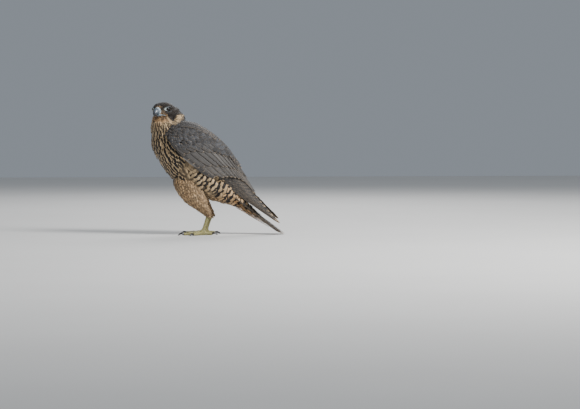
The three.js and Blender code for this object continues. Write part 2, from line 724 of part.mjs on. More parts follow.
// The bill is parted where the cere ends and the bare horn begins.
const ahead = v3(1, 0, 0).transformDirection(headFrame);
const cereLine = ahead.dot(onHead(cereEnd, 0, 0));
const behind = upperBill(0).trimByPlane(ahead.clone().negate().toArray(), -cereLine + gap / 2);
add("cere", cutBy(behind, nostrilPits()), "cere");
add("bill_upper", upperBill(0).trimByPlane(ahead.toArray(), cereLine + gap / 2), "horn");
add("bill_lower", mouth(0).subtract(billRoom), "horn");

// The tail fans out of the end of the trunk, between the folded wings.
const wings = sides.map(({ side }) => wingSolid(side));
const tailRoot = trimAcross(trunkSolid(0), tailCut, false, gap);
const tailWhole = joined([tailRoot, ...tailFeathers(), ...tailCoverts()]);
sides.forEach(({ name }, i) => add("wing_" + name, wings[i].subtract(tailBed(gap)), "back"));
add("tail", cutBy(tailWhole, beds).trimByPlane([0, 0, 1], 0), "back");

const trunkRoom = trunkSolid(gap);
legs.forEach((leg) => {
  const thigh = cutBy(thighSolid(leg, 0), [trunkRoom, ...beds]);
  add("thigh_" + leg.name, thigh, "breast");
  const shin = cutBy(tarsusSolid(leg), [thighSolid(leg, gap)]);
  add("tarsus_" + leg.name, shin, "leg");
  add("foot_" + leg.name, footSolid(leg), "leg");
  toes.forEach((toe) => add("talon_" + toe.name + "_" + leg.name, talonSolid(toe, leg), "claw"));
});

// The origin lies on the ground under the middle of the whole bird.
const extent = new THREE.Box3().setFromObject(falcon);
const centre = extent.getCenter(v3(0, 0, 0));
falcon.position.set(-centre.x, -centre.y, -extent.min.z);

export default falcon;
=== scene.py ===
import json
import math
import bpy
import numpy as np
from mathutils import Matrix, Vector
from mathutils.kdtree import KDTree

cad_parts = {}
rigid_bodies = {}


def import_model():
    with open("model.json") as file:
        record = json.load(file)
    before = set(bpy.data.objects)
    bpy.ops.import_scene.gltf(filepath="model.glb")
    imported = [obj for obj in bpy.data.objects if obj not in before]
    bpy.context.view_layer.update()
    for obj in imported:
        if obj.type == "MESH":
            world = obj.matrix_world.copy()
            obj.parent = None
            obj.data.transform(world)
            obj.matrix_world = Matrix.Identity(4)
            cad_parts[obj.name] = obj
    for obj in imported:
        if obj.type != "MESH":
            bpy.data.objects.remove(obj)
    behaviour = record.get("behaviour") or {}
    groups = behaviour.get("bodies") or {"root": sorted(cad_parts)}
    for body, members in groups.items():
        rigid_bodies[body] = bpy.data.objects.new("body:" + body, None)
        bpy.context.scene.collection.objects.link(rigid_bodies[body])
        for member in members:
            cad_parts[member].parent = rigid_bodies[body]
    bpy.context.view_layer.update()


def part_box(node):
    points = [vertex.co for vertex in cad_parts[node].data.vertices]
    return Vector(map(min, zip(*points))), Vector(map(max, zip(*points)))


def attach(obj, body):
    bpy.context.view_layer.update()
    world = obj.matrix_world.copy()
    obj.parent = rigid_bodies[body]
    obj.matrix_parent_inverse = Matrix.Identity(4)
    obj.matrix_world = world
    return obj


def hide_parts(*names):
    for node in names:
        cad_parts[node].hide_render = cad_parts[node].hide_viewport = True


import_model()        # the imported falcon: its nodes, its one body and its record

mm = 0.001
bakeMap = "OFBake"
rng = np.random.default_rng(11)

# the falcon's form, in millimetres, told as the solids tell it
trunk = {
    "stations": [  # x, z, half depth, half width, from under the skull to the root of the tail
        (89, 262, 25, 22), (87, 249, 31, 26), (82, 237, 38, 31), (68, 213, 51.5, 43),
        (45, 189.5, 61.5, 50), (22, 167, 64, 51), (2, 144.5, 58.5, 48), (-19, 123.5, 48.5, 41),
        (-40.5, 103.5, 36, 32), (-61, 85.5, 22.5, 23), (-80, 71, 12, 16), (-94, 61, 6, 11)],
    "chest": 0.1, "grid": (90, 96), "coat": 2.2,
}
head = {
    "at": (90, 3, 270), "yaw": 56, "pitch": -3, "coat": 1.0, "grid": (60, 72),
    "stations": [  # forward, top, bottom, half width
        (-32, -2, -9, 6), (-27.5, 8, -17, 16), (-19, 15, -22, 22.5), (-9, 18.6, -23, 25.5),
        (0, 19.6, -21.5, 25.5), (8, 18.4, -18.5, 23), (15.5, 14.8, -15, 17.8), (21, 10.6, -12, 12.6),
        (25, 7.4, -10, 9.2)],
    "eye": (9.5, 16.2, 3.6),
    "brow": (9, 12.2, 9, 2.6), "socket": (8.5, 2.4),
    "napes": [((67, -2, 254), (22, 22, 19)), ((72, -4, 264), (19, 20, 17))],
}
bill = {
    "upper": [  # forward, height, half height, half width
        (23, -0.8, 7.7, 8.2), (27, -1.6, 6.9, 7.3), (30.2, -2.6, 6, 6.2), (33.2, -4.2, 5, 5),
        (35.8, -6.8, 3.7, 3.8), (37.3, -10.2, 2.3, 2.4), (37.4, -14.2, 0.7, 0.8)],
    "lower": [(20, -10.4, 2.4, 8), (26, -10.5, 2.2, 6.2), (30.5, -10.2, 1.9, 4.4), (34, -9.6, 1, 2.2)],
    "tooth": (0.7, 0.05, 1.1), "cereEnd": 0.212, "nostril": (26.2, 0.4, 1.15),
    "mouth": {"front": 25.5, "back": 13.5, "height": -8.7, "thin": 0.93},
    "hornSunk": -0.12, "cereProud": 0.25, "cereSwell": 0.5, "cereStep": 0.9,
    "hole": -1.7, "holeRim": 0.28, "peg": 1.3,
}
wing = {
    "stations": [  # low x, low z, low y, top x, top z, top y, corner, from the wrist to the tip
        (88, 221, 41, 80, 233, 36, 0.5), (79, 203, 51, 47, 244, 29, 0.7),
        (64, 184, 56.5, 12, 236, 25, 0.85), (45, 164, 58, -18, 218.5, 19, 0.92),
        (23, 145, 57, -46, 193.5, 13, 0.92), (0, 129, 52, -67, 166, 9, 0.9),
        (-25, 115, 45, -87, 137, 7, 0.85), (-52, 98, 37.5, -103, 112, 6.5, 0.8),
        (-80, 78.5, 31, -117, 88, 6.5, 0.75), (-107, 60, 26, -134, 69, 8, 0.65),
        (-134, 42, 21, -150, 49, 10, 0.55), (-163, 23, 15.5, -165, 28, 12, 0.5)],
    "body": 12.2, "tip": 4.6, "rightRise": 9, "armEnd": 0.5,
}
tail = {"x": -62, "z": 86.5, "drop": 36.5, "length": 142}
thigh = {
    "stations": [  # x, z, half depth, half width
        (44, 140, 24, 14), (38, 118, 30, 18.5), (26, 95, 27, 18.5), (10, 73, 18.5, 14.5), (-5, 55, 10.5, 9.5),
        (-13, 44, 6, 6.5)],
    "legs": {"left": (1, 6, 24), "right": (-1, -4, 24)}, "coat": 1.8, "grid": (40, 40),
}


def lerp(a, b, t):
    return a + (b - a) * t


def smooth(x, low, high):
    t = np.clip((x - low) / (high - low), 0, 1)
    return t * t * (3 - 2 * t)


def runThrough(stations):  # a smooth curve through every column of a table
    table = np.array(stations, float)
    last = len(table) - 1

    def at(share):
        p = np.clip(np.asarray(share, float), 0, 1) * last
        i = np.minimum(p.astype(int), last - 1)
        t = (p - i)[..., None]
        p0, p1, p2, p3 = (table[np.clip(i + k, 0, last)] for k in (-1, 0, 1, 2))
        v0, v1 = (p2 - p0) / 2, (p3 - p1) / 2
        return (2 * p1 - 2 * p2 + v0 + v1) * t**3 + (3 * p2 - 3 * p1 - 2 * v0 - v1) * t**2 + v0 * t + p1

    return at


def unit(v):
    return v / np.maximum(np.linalg.norm(v, axis=-1, keepdims=True), 1e-9)


trunkAt, wingAt = runThrough(trunk["stations"]), runThrough(wing["stations"])
headAt, thighAt = runThrough(head["stations"]), runThrough(thigh["stations"])
headFrame = (
    Matrix.Translation(head["at"])
    @ Matrix.Rotation(math.radians(head["yaw"]), 4, "Z")
    @ Matrix.Rotation(math.radians(head["pitch"]), 4, "Y")
)
headTurn = np.array(headFrame)[:3, :3]
headHome = np.array(headFrame)[:3, 3]
eyeLow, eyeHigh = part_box("eye_left")
shift = (np.array(eyeLow) + np.array(eyeHigh)) / 2 / mm - (headTurn @ np.array(head["eye"]) + headHome)


def onHead(f, l, h):
    return np.stack(np.broadcast_arrays(f, l, h), -1).astype(float) @ headTurn.T + headHome


def headPlaces(points):  # back into the head's own frame
    return (points - headHome) @ headTurn


def trunkPoint(share, angle, lift):
    here, before, after = trunkAt(share), trunkAt(share - 0.01), trunkAt(share + 0.01)
    along = unit(after[..., :2] - before[..., :2])
    out = (here[..., 2] + lift) * np.cos(angle)
    aside = (here[..., 3] + lift) * np.sin(angle) * (1 + trunk["chest"] * np.cos(angle))
    return np.stack([here[..., 0] - along[..., 1] * out, aside, here[..., 1] + along[..., 0] * out], -1)


def wingFace(u, w):
    lowX, lowZ, lowY, topX, topZ, topY, corner = np.moveaxis(wingAt(u), -1, 0)
    low, top = np.stack([lowX, lowY, lowZ], -1), np.stack([topX, topY, topZ], -1)
    bend = np.stack([lerp(lowX, topX, corner), lowY, lerp(lowZ, topZ, corner)], -1)
    w = np.asarray(w, float)[..., None]
    return (1 - w) ** 2 * low + 2 * w * (1 - w) * bend + w**2 * top


def wingPoint(side, u, w, lift):
    u, w, lift = np.broadcast_arrays(u, w, lift)
    along = wingFace(u + 0.004, w) - wingFace(u - 0.004, w)
    across = wingFace(u, w + 0.004) - wingFace(u, w - 0.004)
    out = unit(np.cross(along, across))
    out = out * np.where(out[..., 1:2] < 0, -1, 1)
    p = wingFace(u, w) + out * lift[..., None]
    rise = wing["rightRise"] * smooth(u, 0.45, 1) if side < 0 else 0
    return np.stack([p[..., 0], side * p[..., 1], p[..., 2] + rise], -1)


def tailPoint(s, aside, lift):
    drop, out = math.radians(tail["drop"]), tail["length"] * s
    x = tail["x"] - math.cos(drop) * out - math.sin(drop) * lift
    z = tail["z"] - math.sin(drop) * out + math.cos(drop) * lift
    return np.stack(np.broadcast_arrays(x, aside, z), -1)


# meshes
def closedRings(rings):  # rings of points, shape (n, around, 3), with a point at each end
    n, around = rings.shape[:2]
    points = np.concatenate([rings.reshape(-1, 3), rings[:1].mean(1), rings[-1:].mean(1)])
    i, j = np.meshgrid(np.arange(n - 1), np.arange(around), indexing="ij")
    a, b = i * around + j, i * around + (j + 1) % around
    quads = np.stack([a, b, b + around, a + around], -1).reshape(-1, 4)
    k, top = np.arange(around), (n - 1) * around
    first = np.stack([(k + 1) % around, k, np.full(around, n * around)], -1)
    last = np.stack([top + k, top + (k + 1) % around, np.full(around, n * around + 1)], -1)
    return points, quads.tolist() + first.tolist() + last.tolist()


def addObject(name, data):
    thing = bpy.data.objects.new(name, data)
    bpy.context.collection.objects.link(thing)
    return thing


def smoothFaces(mesh):
    mesh.polygons.foreach_set("use_smooth", [True] * len(mesh.polygons))


def meshObject(name, points, faces):  # from places in millimetres
    mesh = bpy.data.meshes.new(name)
    mesh.from_pydata(((np.asarray(points) + shift) * mm).tolist(), [], faces)
    smoothFaces(mesh)
    mesh.update()
    return addObject(name, mesh)


def pointsOf(thing):
    flat = np.empty(len(thing.data.vertices) * 3)
    thing.data.vertices.foreach_get("co", flat)
    return flat.reshape(-1, 3) / mm - shift


def cornerPoints(thing):  # the point that each corner of a face stands on
    corners = np.empty(len(thing.data.loops), int)
    thing.data.loops.foreach_get("vertex_index", corners)
    return corners


def setAttribute(thing, name, values):
    values = np.asarray(values, float)
    kind = "FLOAT" if values.ndim == 1 else "FLOAT_VECTOR"
    layer = thing.data.attributes.new(name, kind, "POINT")
    layer.data.foreach_set("value" if values.ndim == 1 else "vector", values.ravel())


def bakedMesh(thing, name):  # the evaluated object as a plain mesh object of its own
    mesh = bpy.data.meshes.new_from_object(thing.evaluated_get(bpy.context.evaluated_depsgraph_get()))
    mesh.name = name
    return addObject(name, mesh)


def dropObject(thing):
    mesh = thing.data
    bpy.data.objects.remove(thing)
    bpy.data.meshes.remove(mesh)


def editWhole(thing, *steps):  # mesh tools run on everything in one mesh
    bpy.context.view_layer.objects.active = thing
    bpy.ops.object.select_all(action="DESELECT")
    thing.select_set(True)
    bpy.ops.object.mode_set(mode="EDIT")
    bpy.ops.mesh.select_all(action="SELECT")
    for step in steps:
        step()
    bpy.ops.object.mode_set(mode="OBJECT")


def outwards(thing):  # doubled points joined, every face turned out
    editWhole(
        thing, lambda: bpy.ops.mesh.remove_doubles(threshold=0.000001),
        lambda: bpy.ops.mesh.normals_make_consistent(inside=False))


def unwrap(thing):
    thing.data.uv_layers.new(name=bakeMap)
    editWhole(thing, lambda: bpy.ops.uv.smart_project(angle_limit=1.15, island_margin=0.004))


# materials
class Shade:  # a socket that adds its maths nodes as an expression is written
    def __init__(self, finish, socket):
        self.finish, self.socket = finish, socket

    def sum(self, operation, *values):
        return self.finish.node("ShaderNodeMath", {"operation": operation}, dict(enumerate(values)))

    def __add__(self, other):
        return self.sum("ADD", self, other)

    def __radd__(self, other):
        return self.sum("ADD", other, self)

    def __sub__(self, other):
        return self.sum("SUBTRACT", self, other)

    def __rsub__(self, other):
        return self.sum("SUBTRACT", other, self)

    def __mul__(self, other):
        return self.sum("MULTIPLY", self, other)

    def __rmul__(self, other):
        return self.sum("MULTIPLY", other, self)

    def __abs__(self):
        return self.sum("ABSOLUTE", self)

    def sine(self):
        return self.sum("SINE", self)

    def wave(self):  # a sine between 0 and 1
        return self.sine() * 0.5 + 0.5

    def clear(self):  # kept between 0 and 1
        return self.finish.node("ShaderNodeClamp", {}, {0: self})

    def step(self, low, high):  # 0 below low, 1 above high, smooth between
        sockets = {0: self, 1: low, 2: high, 3: 0, 4: 1}
        return self.finish.node("ShaderNodeMapRange", {"interpolation_type": "SMOOTHSTEP"}, sockets)

    def part(self, index):
        return self.finish.node("ShaderNodeSeparateXYZ", {}, {0: self}, index)


class Finish:  # one material, built node by node
    def __init__(self, name):
        self.material = bpy.data.materials.new(name)
        self.material.use_nodes = True
        self.tree = self.material.node_tree
        self.tree.nodes.clear()

    def node(self, kind, settings, sockets, output=0):
        made = self.tree.nodes.new(kind)
        for key, value in settings.items():
            setattr(made, key, value)
        for key, value in sockets.items():
            if isinstance(value, Shade):
                self.tree.links.new(value.socket, made.inputs[key])
            elif isinstance(value, tuple) and len(value) == 3 and made.inputs[key].type == "RGBA":
                made.inputs[key].default_value = (*value, 1)
            else:
                made.inputs[key].default_value = value
        return Shade(self, made.outputs[output]) if made.outputs else made

    def attribute(self, name, output="Fac"):
        return self.node("ShaderNodeAttribute", {"attribute_name": name}, {}, output)

    def place(self):
        return self.node("ShaderNodeTexCoord", {}, {}, "Object")

    def noise(self, scale, detail=3, stretch=None):
        at = self.place()
        if stretch:
            at = self.node("ShaderNodeMapping", {}, {"Vector": at, "Scale": stretch})
        sockets = {"Vector": at, "Scale": scale, "Detail": detail, "Roughness": 0.55}
        return self.node("ShaderNodeTexNoise", {}, sockets)

    def scales(self, scale):  # the distance to the edge of each small scale
        sockets = {"Vector": self.place(), "Scale": scale}
        return self.node("ShaderNodeTexVoronoi", {"feature": "DISTANCE_TO_EDGE"}, sockets)

    def brightness(self, colour, value):
        return self.node("ShaderNodeHueSaturation", {}, {"Value": value, "Color": colour})

    def mix(self, a, b, factor):
        return self.node("ShaderNodeMix", {"data_type": "RGBA"}, {0: factor, 6: a, 7: b}, 2)

    def bump(self, height, strength, distance):
        return self.node("ShaderNodeBump", {}, {"Height": height, "Strength": strength, "Distance": distance})

    def done(self, colour, roughness, normal=None, **fixed):
        sockets = {"Base Color": colour, "Roughness": roughness}
        if normal is not None:
            sockets["Normal"] = normal
        sockets.update({key.replace("_", " "): value for key, value in fixed.items()})
        shader = self.node("ShaderNodeBsdfPrincipled", {}, sockets)
        self.node("ShaderNodeOutputMaterial", {}, {"Surface": shader})
        return self.material


tints = {
    "cream": (0.52, 0.39, 0.23), "rufous": (0.46, 0.235, 0.09), "brownBlack": (0.014, 0.011, 0.01),
    "slate": (0.04, 0.037, 0.036), "slatePale": (0.13, 0.12, 0.11), "fringe": (0.36, 0.27, 0.18),
    "cap": (0.022, 0.017, 0.014), "capEdge": (0.12, 0.075, 0.045), "shaft": (0.012, 0.01, 0.009),
    "tailPale": (0.27, 0.215, 0.15), "blueSlate": (0.075, 0.078, 0.085),
    "horn": (0.1, 0.125, 0.155), "hornTip": (0.012, 0.012, 0.014), "claw": (0.02, 0.018, 0.017),
    "clawTip": (0.008, 0.008, 0.008), "cere": (0.42, 0.49, 0.52), "cereDeep": (0.2, 0.25, 0.29),
    "orbit": (0.13, 0.15, 0.155), "orbitDeep": (0.06, 0.065, 0.07), "orbitPale": (0.62, 0.66, 0.6),
    "leg": (0.42, 0.36, 0.12), "legCloud": (0.33, 0.31, 0.15), "legGap": (0.12, 0.115, 0.06),
    "iris": (0.016, 0.008, 0.005), "irisDeep": (0.007, 0.004, 0.003), "pupil": (0.001, 0.001, 0.001),
    "eyeRim": (0.004, 0.003, 0.003), "floor": (0.72, 0.71, 0.69), "floorCloud": (0.66, 0.65, 0.63),
    "air": (0.72, 0.8, 0.9),
}
grain = {  # how fine each texture is
    "blotch": 60, "fine": 1100, "flow": 210, "vane": 1300, "cloud": 110, "waxy": 1500, "waxCloud": 350,
    "scute": 620, "legCloud": 140, "hornStreak": 700, "downStreak": 150, "downBar": 130, "fibre": 1500,
    "floor": 3,
}
relief = {"feather": 0.0003, "horn": 0.0002, "scute": 0.0006}  # bump heights in metres


def bladeOf(f):  # the place across and along one large feather, and its length
    blade = f.attribute("blade", "Vector")
    return abs(blade.part(0) * 2 - 1), blade.part(1), blade.part(2)


def bodyPlumage(name, onBlades):
    # slate, cap, streak, bar and warm say where each marking lies; blade is the place on one feather
    f = Finish(name)
    slate, cap, streak, bar, warm = (f.attribute(key) for key in ("slate", "cap", "streak", "bar", "warm"))
    blotch, fine = f.noise(grain["blotch"]), f.noise(grain["fine"])
    if onBlades:
        blade, tone, long = f.attribute("blade", "Vector"), f.attribute("tone"), f.attribute("long")
        across, along = abs(blade.part(0) * 2 - 1), blade.part(1)
        wobble = fine - 0.5
        reach = along - 0.68
        inStreak = (0.34 + 0.16 * tone - 1.1 * reach * reach - across + 0.35 * wobble).step(-0.05, 0.08)
        flow = f.noise(grain["flow"], 2, stretch=(1, 1, 0.32)).step(0.45, 0.55)
        inStreak = inStreak + (flow - inStreak) * (1 - long.step(8, 13))
        beat = f.attribute("beat")
        inBar = (along * beat + across * 1.5 + wobble * 1.1 + 2.6 * tone).sine().step(-0.35, 0.05)
        rim = (across + 0.12 * wobble).step(0.72, 0.96)
        atTip = (along + 0.06 * wobble + 0.06 * across).step(0.9, 0.985)
        atEdge = (rim * along.step(0.2, 0.5) + atTip).clear()
        dapple = (0.2 + 0.8 * tone) * blotch.step(0.3, 0.65)
        shade = 0.7 + 0.5 * tone
        barbs = (along * long * 9 - across * 20).wave()
        spine = 1 - across.step(0.02, 0.12)
        rough = 0.6
    else:
        inStreak, inBar = (f.noise(grain[key], 2).step(0.42, 0.58) for key in ("downStreak", "downBar"))
        atEdge, dapple, shade, barbs, spine, rough = inStreak * 0.2, blotch, 0.8, fine, 0.0, 0.85
    pale = f.mix(tints["cream"], tints["rufous"], (warm + 0.6 * (blotch - 0.5)).clear())
    back = f.mix(tints["slate"], tints["blueSlate"], dapple)
    back = f.mix(back, tints["fringe"], atEdge * 0.62)
    back = f.mix(back, tints["shaft"], spine * 0.7)
    dark = f.mix(tints["brownBlack"], tints["cap"], fine.step(0.4, 0.7))
    colour = f.mix(pale, back, slate)
    colour = f.mix(colour, dark, (streak * inStreak).clear())
    colour = f.mix(colour, dark, (bar * inBar).clear())
    colour = f.mix(colour, f.mix(tints["cap"], tints["capEdge"], atEdge * 0.75), cap)
    value = f.brightness(colour, shade)
    normal = f.bump(barbs, 0.3, relief["feather"])
    return f.done(value, rough, normal, Specular_IOR_Level=0.25, Sheen_Weight=0.08, Sheen_Roughness=0.5)


def ventPlumage(name):  # long pale feathers under the tail, with wide dark bars
    f = Finish(name)
    tone = f.attribute("tone")
    across, along, long = bladeOf(f)
    fine, blotch = f.noise(grain["fine"]), f.noise(grain["blotch"])
    pale = f.mix(tints["cream"], tints["rufous"], (0.15 + 0.9 * blotch).clear())
    wave = (along * long * 0.42 - across * 1.4 + 1.2 * (fine - 0.5) + 2.2 * tone).sine()
    colour = f.mix(pale, tints["brownBlack"], wave.step(0.25, 0.55) * 0.92)
    value = f.brightness(colour, 0.75 + 0.4 * tone)
    barbs = (along * long * 7 - across * 22).wave()
    return f.done(value, 0.65, f.bump(barbs, 0.25, relief["feather"]), Specular_IOR_Level=0.25)


def flightPlumage(name):
    # blade gives the place on the feather, and bars, fringe, paleness and tone differ from feather to feather
    f = Finish(name)
    tone, bars, fringe, paleness = (f.attribute(key) for key in ("tone", "bars", "fringe", "paleness"))
    across, along, long = bladeOf(f)
    fine, cloud = f.noise(grain["vane"], 2), f.noise(grain["cloud"], 4)
    pale = (paleness + 0.9 * (cloud - 0.5) + 0.2 * across).clear()
    ground = f.mix(tints["slate"], tints["slatePale"], pale)
    wave = (along * long * 0.62 + across * 0.9 + 0.6 * (cloud - 0.5)).sine()
    inBar = wave.step(0.25, 0.75) * across.step(0.12, 0.3) * (1 - across.step(0.82, 0.97))
    colour = f.mix(ground, tints["tailPale"], (bars * inBar).clear())
    deep = across.step(0.55, 0.8) * (1 - across.step(0.84, 0.9)) + along.step(0.86, 0.92)
    colour = f.mix(colour, tints["brownBlack"], (deep * 0.45 * fringe).clear())
    rim = (across + 0.07 * (fine - 0.5)).step(0.86, 0.97) * along.step(0.25, 0.6)
    tipRim = (along + 0.035 * across * across + 0.02 * (fine - 0.5)).step(0.955, 0.985)
    colour = f.mix(colour, tints["fringe"], (fringe * (rim * 0.6 + tipRim)).clear())
    colour = f.mix(colour, tints["shaft"], (1 - across.step(0.02, 0.06)) * 0.9)
    barbs = (along * long * 9 - across * 24).wave() * (0.6 + 0.8 * fine)
    colour = f.mix(colour, tints["brownBlack"], barbs * 0.2)
    value = f.brightness(colour, 0.7 + 0.55 * tone)
    normal = f.bump(barbs, 0.22, relief["feather"])
    return f.done(value, 0.48 + 0.2 * cloud, normal, Specular_IOR_Level=0.3)


def hornFinish(name, base, tipTint, tipAt, gloss):
    f = Finish(name)
    toTip = f.attribute("toTip").step(*tipAt)
    streaks = f.noise(grain["hornStreak"], 4, stretch=(1, 1, 0.25))
    colour = f.mix(f.mix(base, tuple(0.72 * c for c in base), streaks), tipTint, toTip)
    return f.done(colour, gloss + 0.15 * streaks, f.bump(streaks, 0.12, relief["horn"]), Coat_Weight=0.25)


def cereFinish(name, base, deep, paler=None):  # bare waxy skin, finely grained
    f = Finish(name)
    if paler:
        base = f.mix(base, paler, f.attribute("pale"))
    grains = f.scales(grain["waxy"])
    cloud = f.noise(grain["waxCloud"])
    colour = f.mix(base, deep, (cloud.step(0.35, 0.75) * 0.5 + (1 - grains.step(0, 0.2)) * 0.35).clear())
    normal = f.bump(grains.step(0, 0.3), 0.25, relief["horn"])
    return f.done(colour, 0.38 + 0.2 * cloud, normal, Subsurface_Weight=0.08, Subsurface_Scale=0.003)


def legFinish(name):  # broad scutes along the front of shank and toes, small round scales elsewhere
    f = Finish(name)
    run, top = f.attribute("run"), f.attribute("top")
    ridge = abs((run * 1.35).sine())
    small = f.scales(grain["scute"])
    scale = ridge.step(0.08, 0.4) * top + small.step(0.0, 0.2) * (1 - top)
    skinTone = f.mix(tints["leg"], tints["legCloud"], f.noise(grain["legCloud"]))
    colour = f.mix(tints["legGap"], skinTone, scale)
    normal = f.bump(scale, 0.65, relief["scute"])
    return f.done(colour, 0.62 - 0.18 * scale, normal, Specular_IOR_Level=0.4)


def eyeFinish():
    f = Finish("eyeball")
    gaze = f.attribute("gaze")
    fibres = f.noise(grain["fibre"], 2)
    iris = f.mix(tints["iris"], tints["irisDeep"], fibres)
    inPupil = 1 - gaze.step(0.15, 0.165)
    colour = f.mix(iris, tints["pupil"], inPupil)
    colour = f.mix(colour, tints["eyeRim"], gaze.step(0.27, 0.3))
    return f.done(colour, 0.12, Coat_Weight=0.55, Coat_Roughness=0.03, Specular_IOR_Level=0.15)


# skin: trunk, head, hunched nape and thighs grown together
def headSwell(f, h):  # brow out, socket in
    browF, browH, browReach, browProud = head["brow"]
    toBrow = np.hypot((f - browF) / 1.6, h - browH) / browReach
    toEye = np.hypot(f - head["eye"][0], h - head["eye"][2]) / head["socket"][0]
    return browProud * np.maximum(0, 1 - toBrow**2) - head["socket"][1] * np.maximum(0, 1 - toEye**2)


def headPoint(share, angle, coat):
    at = headAt(share)
    h = (at[..., 1] + at[..., 2]) / 2 + ((at[..., 1] - at[..., 2]) / 2 - coat) * np.sin(angle)
    side = (at[..., 3] - coat) * np.cos(angle)
    f = np.broadcast_to(at[..., 0], side.shape)
    return onHead(f, side + np.sign(side) * headSwell(f, h) * np.minimum(1, np.abs(side) / 8), h)


def headSide(f, h):  # how far out the face is at a place seen from its side
    shares = np.linspace(0, 1, 200)
    at = headAt(shares)
    top, bottom, width = (np.interp(f, at[:, 0], at[:, k]) for k in (1, 2, 3))
    level = (h - (top + bottom) / 2) / ((top - bottom) / 2)
    return width * np.sqrt(np.clip(1 - level**2, 0.01, 1)) + headSwell(f, h)


def thighPoint(leg, share, angle, lift):
    side, ahead, aside = leg
    here, before, after = thighAt(share), thighAt(share - 0.02), thighAt(share + 0.02)
    along = unit(after[..., :2] - before[..., :2])
    out, across = (here[..., 2] + lift) * np.cos(angle), (here[..., 3] + lift) * np.sin(angle)
    x = here[..., 0] - along[..., 1] * out + ahead * share
    return np.stack([x, side * (aside + across), here[..., 1] + along[..., 0] * out], -1)


def sheet(rings, around):  # shares down a form and angles about it
    angles = np.linspace(0, 2 * math.pi, around, endpoint=False)
    return np.meshgrid(np.linspace(0, 1, rings), angles, indexing="ij")


def ballAt(place, size):
    down, about = sheet(26, 36)
    polar = lerp(0.06, math.pi - 0.06, down)
    ball = np.stack([np.cos(polar), np.sin(polar) * np.cos(about), np.sin(polar) * np.sin(about)], -1)
    return closedRings(np.array(place) + ball * size)


meshing = {"skin": (0.0015, 7), "leg": (0.00065, 4)}  # voxel in metres and rounds of smoothing


def buildSkin():
    forms = [closedRings(trunkPoint(*sheet(*trunk["grid"]), -trunk["coat"]))]
    forms.append(closedRings(headPoint(*sheet(*head["grid"]), head["coat"])))
    for place, size in head["napes"]:
        forms.append(ballAt(place, np.array(size) - trunk["coat"] * 0.6))
    for leg in thigh["legs"].values():
        forms.append(closedRings(thighPoint(leg, *sheet(*thigh["grid"]), -thigh["coat"])))
    return grownTogether("falcon_skin", forms, *meshing["skin"])


def manyShells(name, forms):
    points, faces, start = [], [], 0
    for formPoints, formFaces in forms:
        points.append(formPoints)
        faces += [[start + i for i in face] for face in formFaces]
        start += len(formPoints)
    thing = meshObject(name, np.concatenate(points), faces)
    outwards(thing)
    return thing


def grownTogether(name, forms, voxel, rounds):  # one closed skin round all the forms
    rough = manyShells("rough", forms)
    for kind, settings in (
        ("REMESH", {"mode": "VOXEL", "voxel_size": voxel}), ("SMOOTH", {"iterations": rounds, "factor": 0.5}),
    ):
        modifier = rough.modifiers.new(kind.lower(), kind)
        for key, value in settings.items():
            setattr(modifier, key, value)
    whole = bakedMesh(rough, name)
    smoothFaces(whole.data)
    dropObject(rough)
    return whole


limits = {  # where a marking fades in: in millimetres on head and thigh, in shares and angles on the trunk
    "skullFoot": (-26, -20), "skullReach": (36, 42), "helmetStep": (10.5, 15.5), "helmetEdge": (-1.2, 1.2),
    "helmetFront": (14.5, 19), "eyePatch": (9.5, 12), "loresFront": (13, 15), "loresSide": (5, 8),
    "loresTall": (5, 8), "foreheadFront": (13, 17), "foreheadHigh": (0, 5), "malarTaper": (2, 20),
    "malarEdge": (-1.4, 1.4), "malarTop": (0, 3), "malarEnd": (20, 25), "malarSide": (6, 10),
    "napeBack": (18, 25), "napeSide": (5, 10), "napeHigh": (-34, -24), "cheekTop": (-3, 0),
    "cheekFront": (6, 10), "chinFront": (5, 9), "thighLift": (1.5, 4), "napeAngle": (2.0, 2.5),
    "backAngle": (1.85, 2.2), "backStart": (0.045, 0.12), "flankAngle": (0.7, 1.05),
    "flankStart": (0.36, 0.48), "ventStart": (0.62, 0.74), "streakStart": (0.05, 0.2),
}


def past(x, limit):  # 0 before a limit and 1 after it
    return smooth(x, *limits[limit])


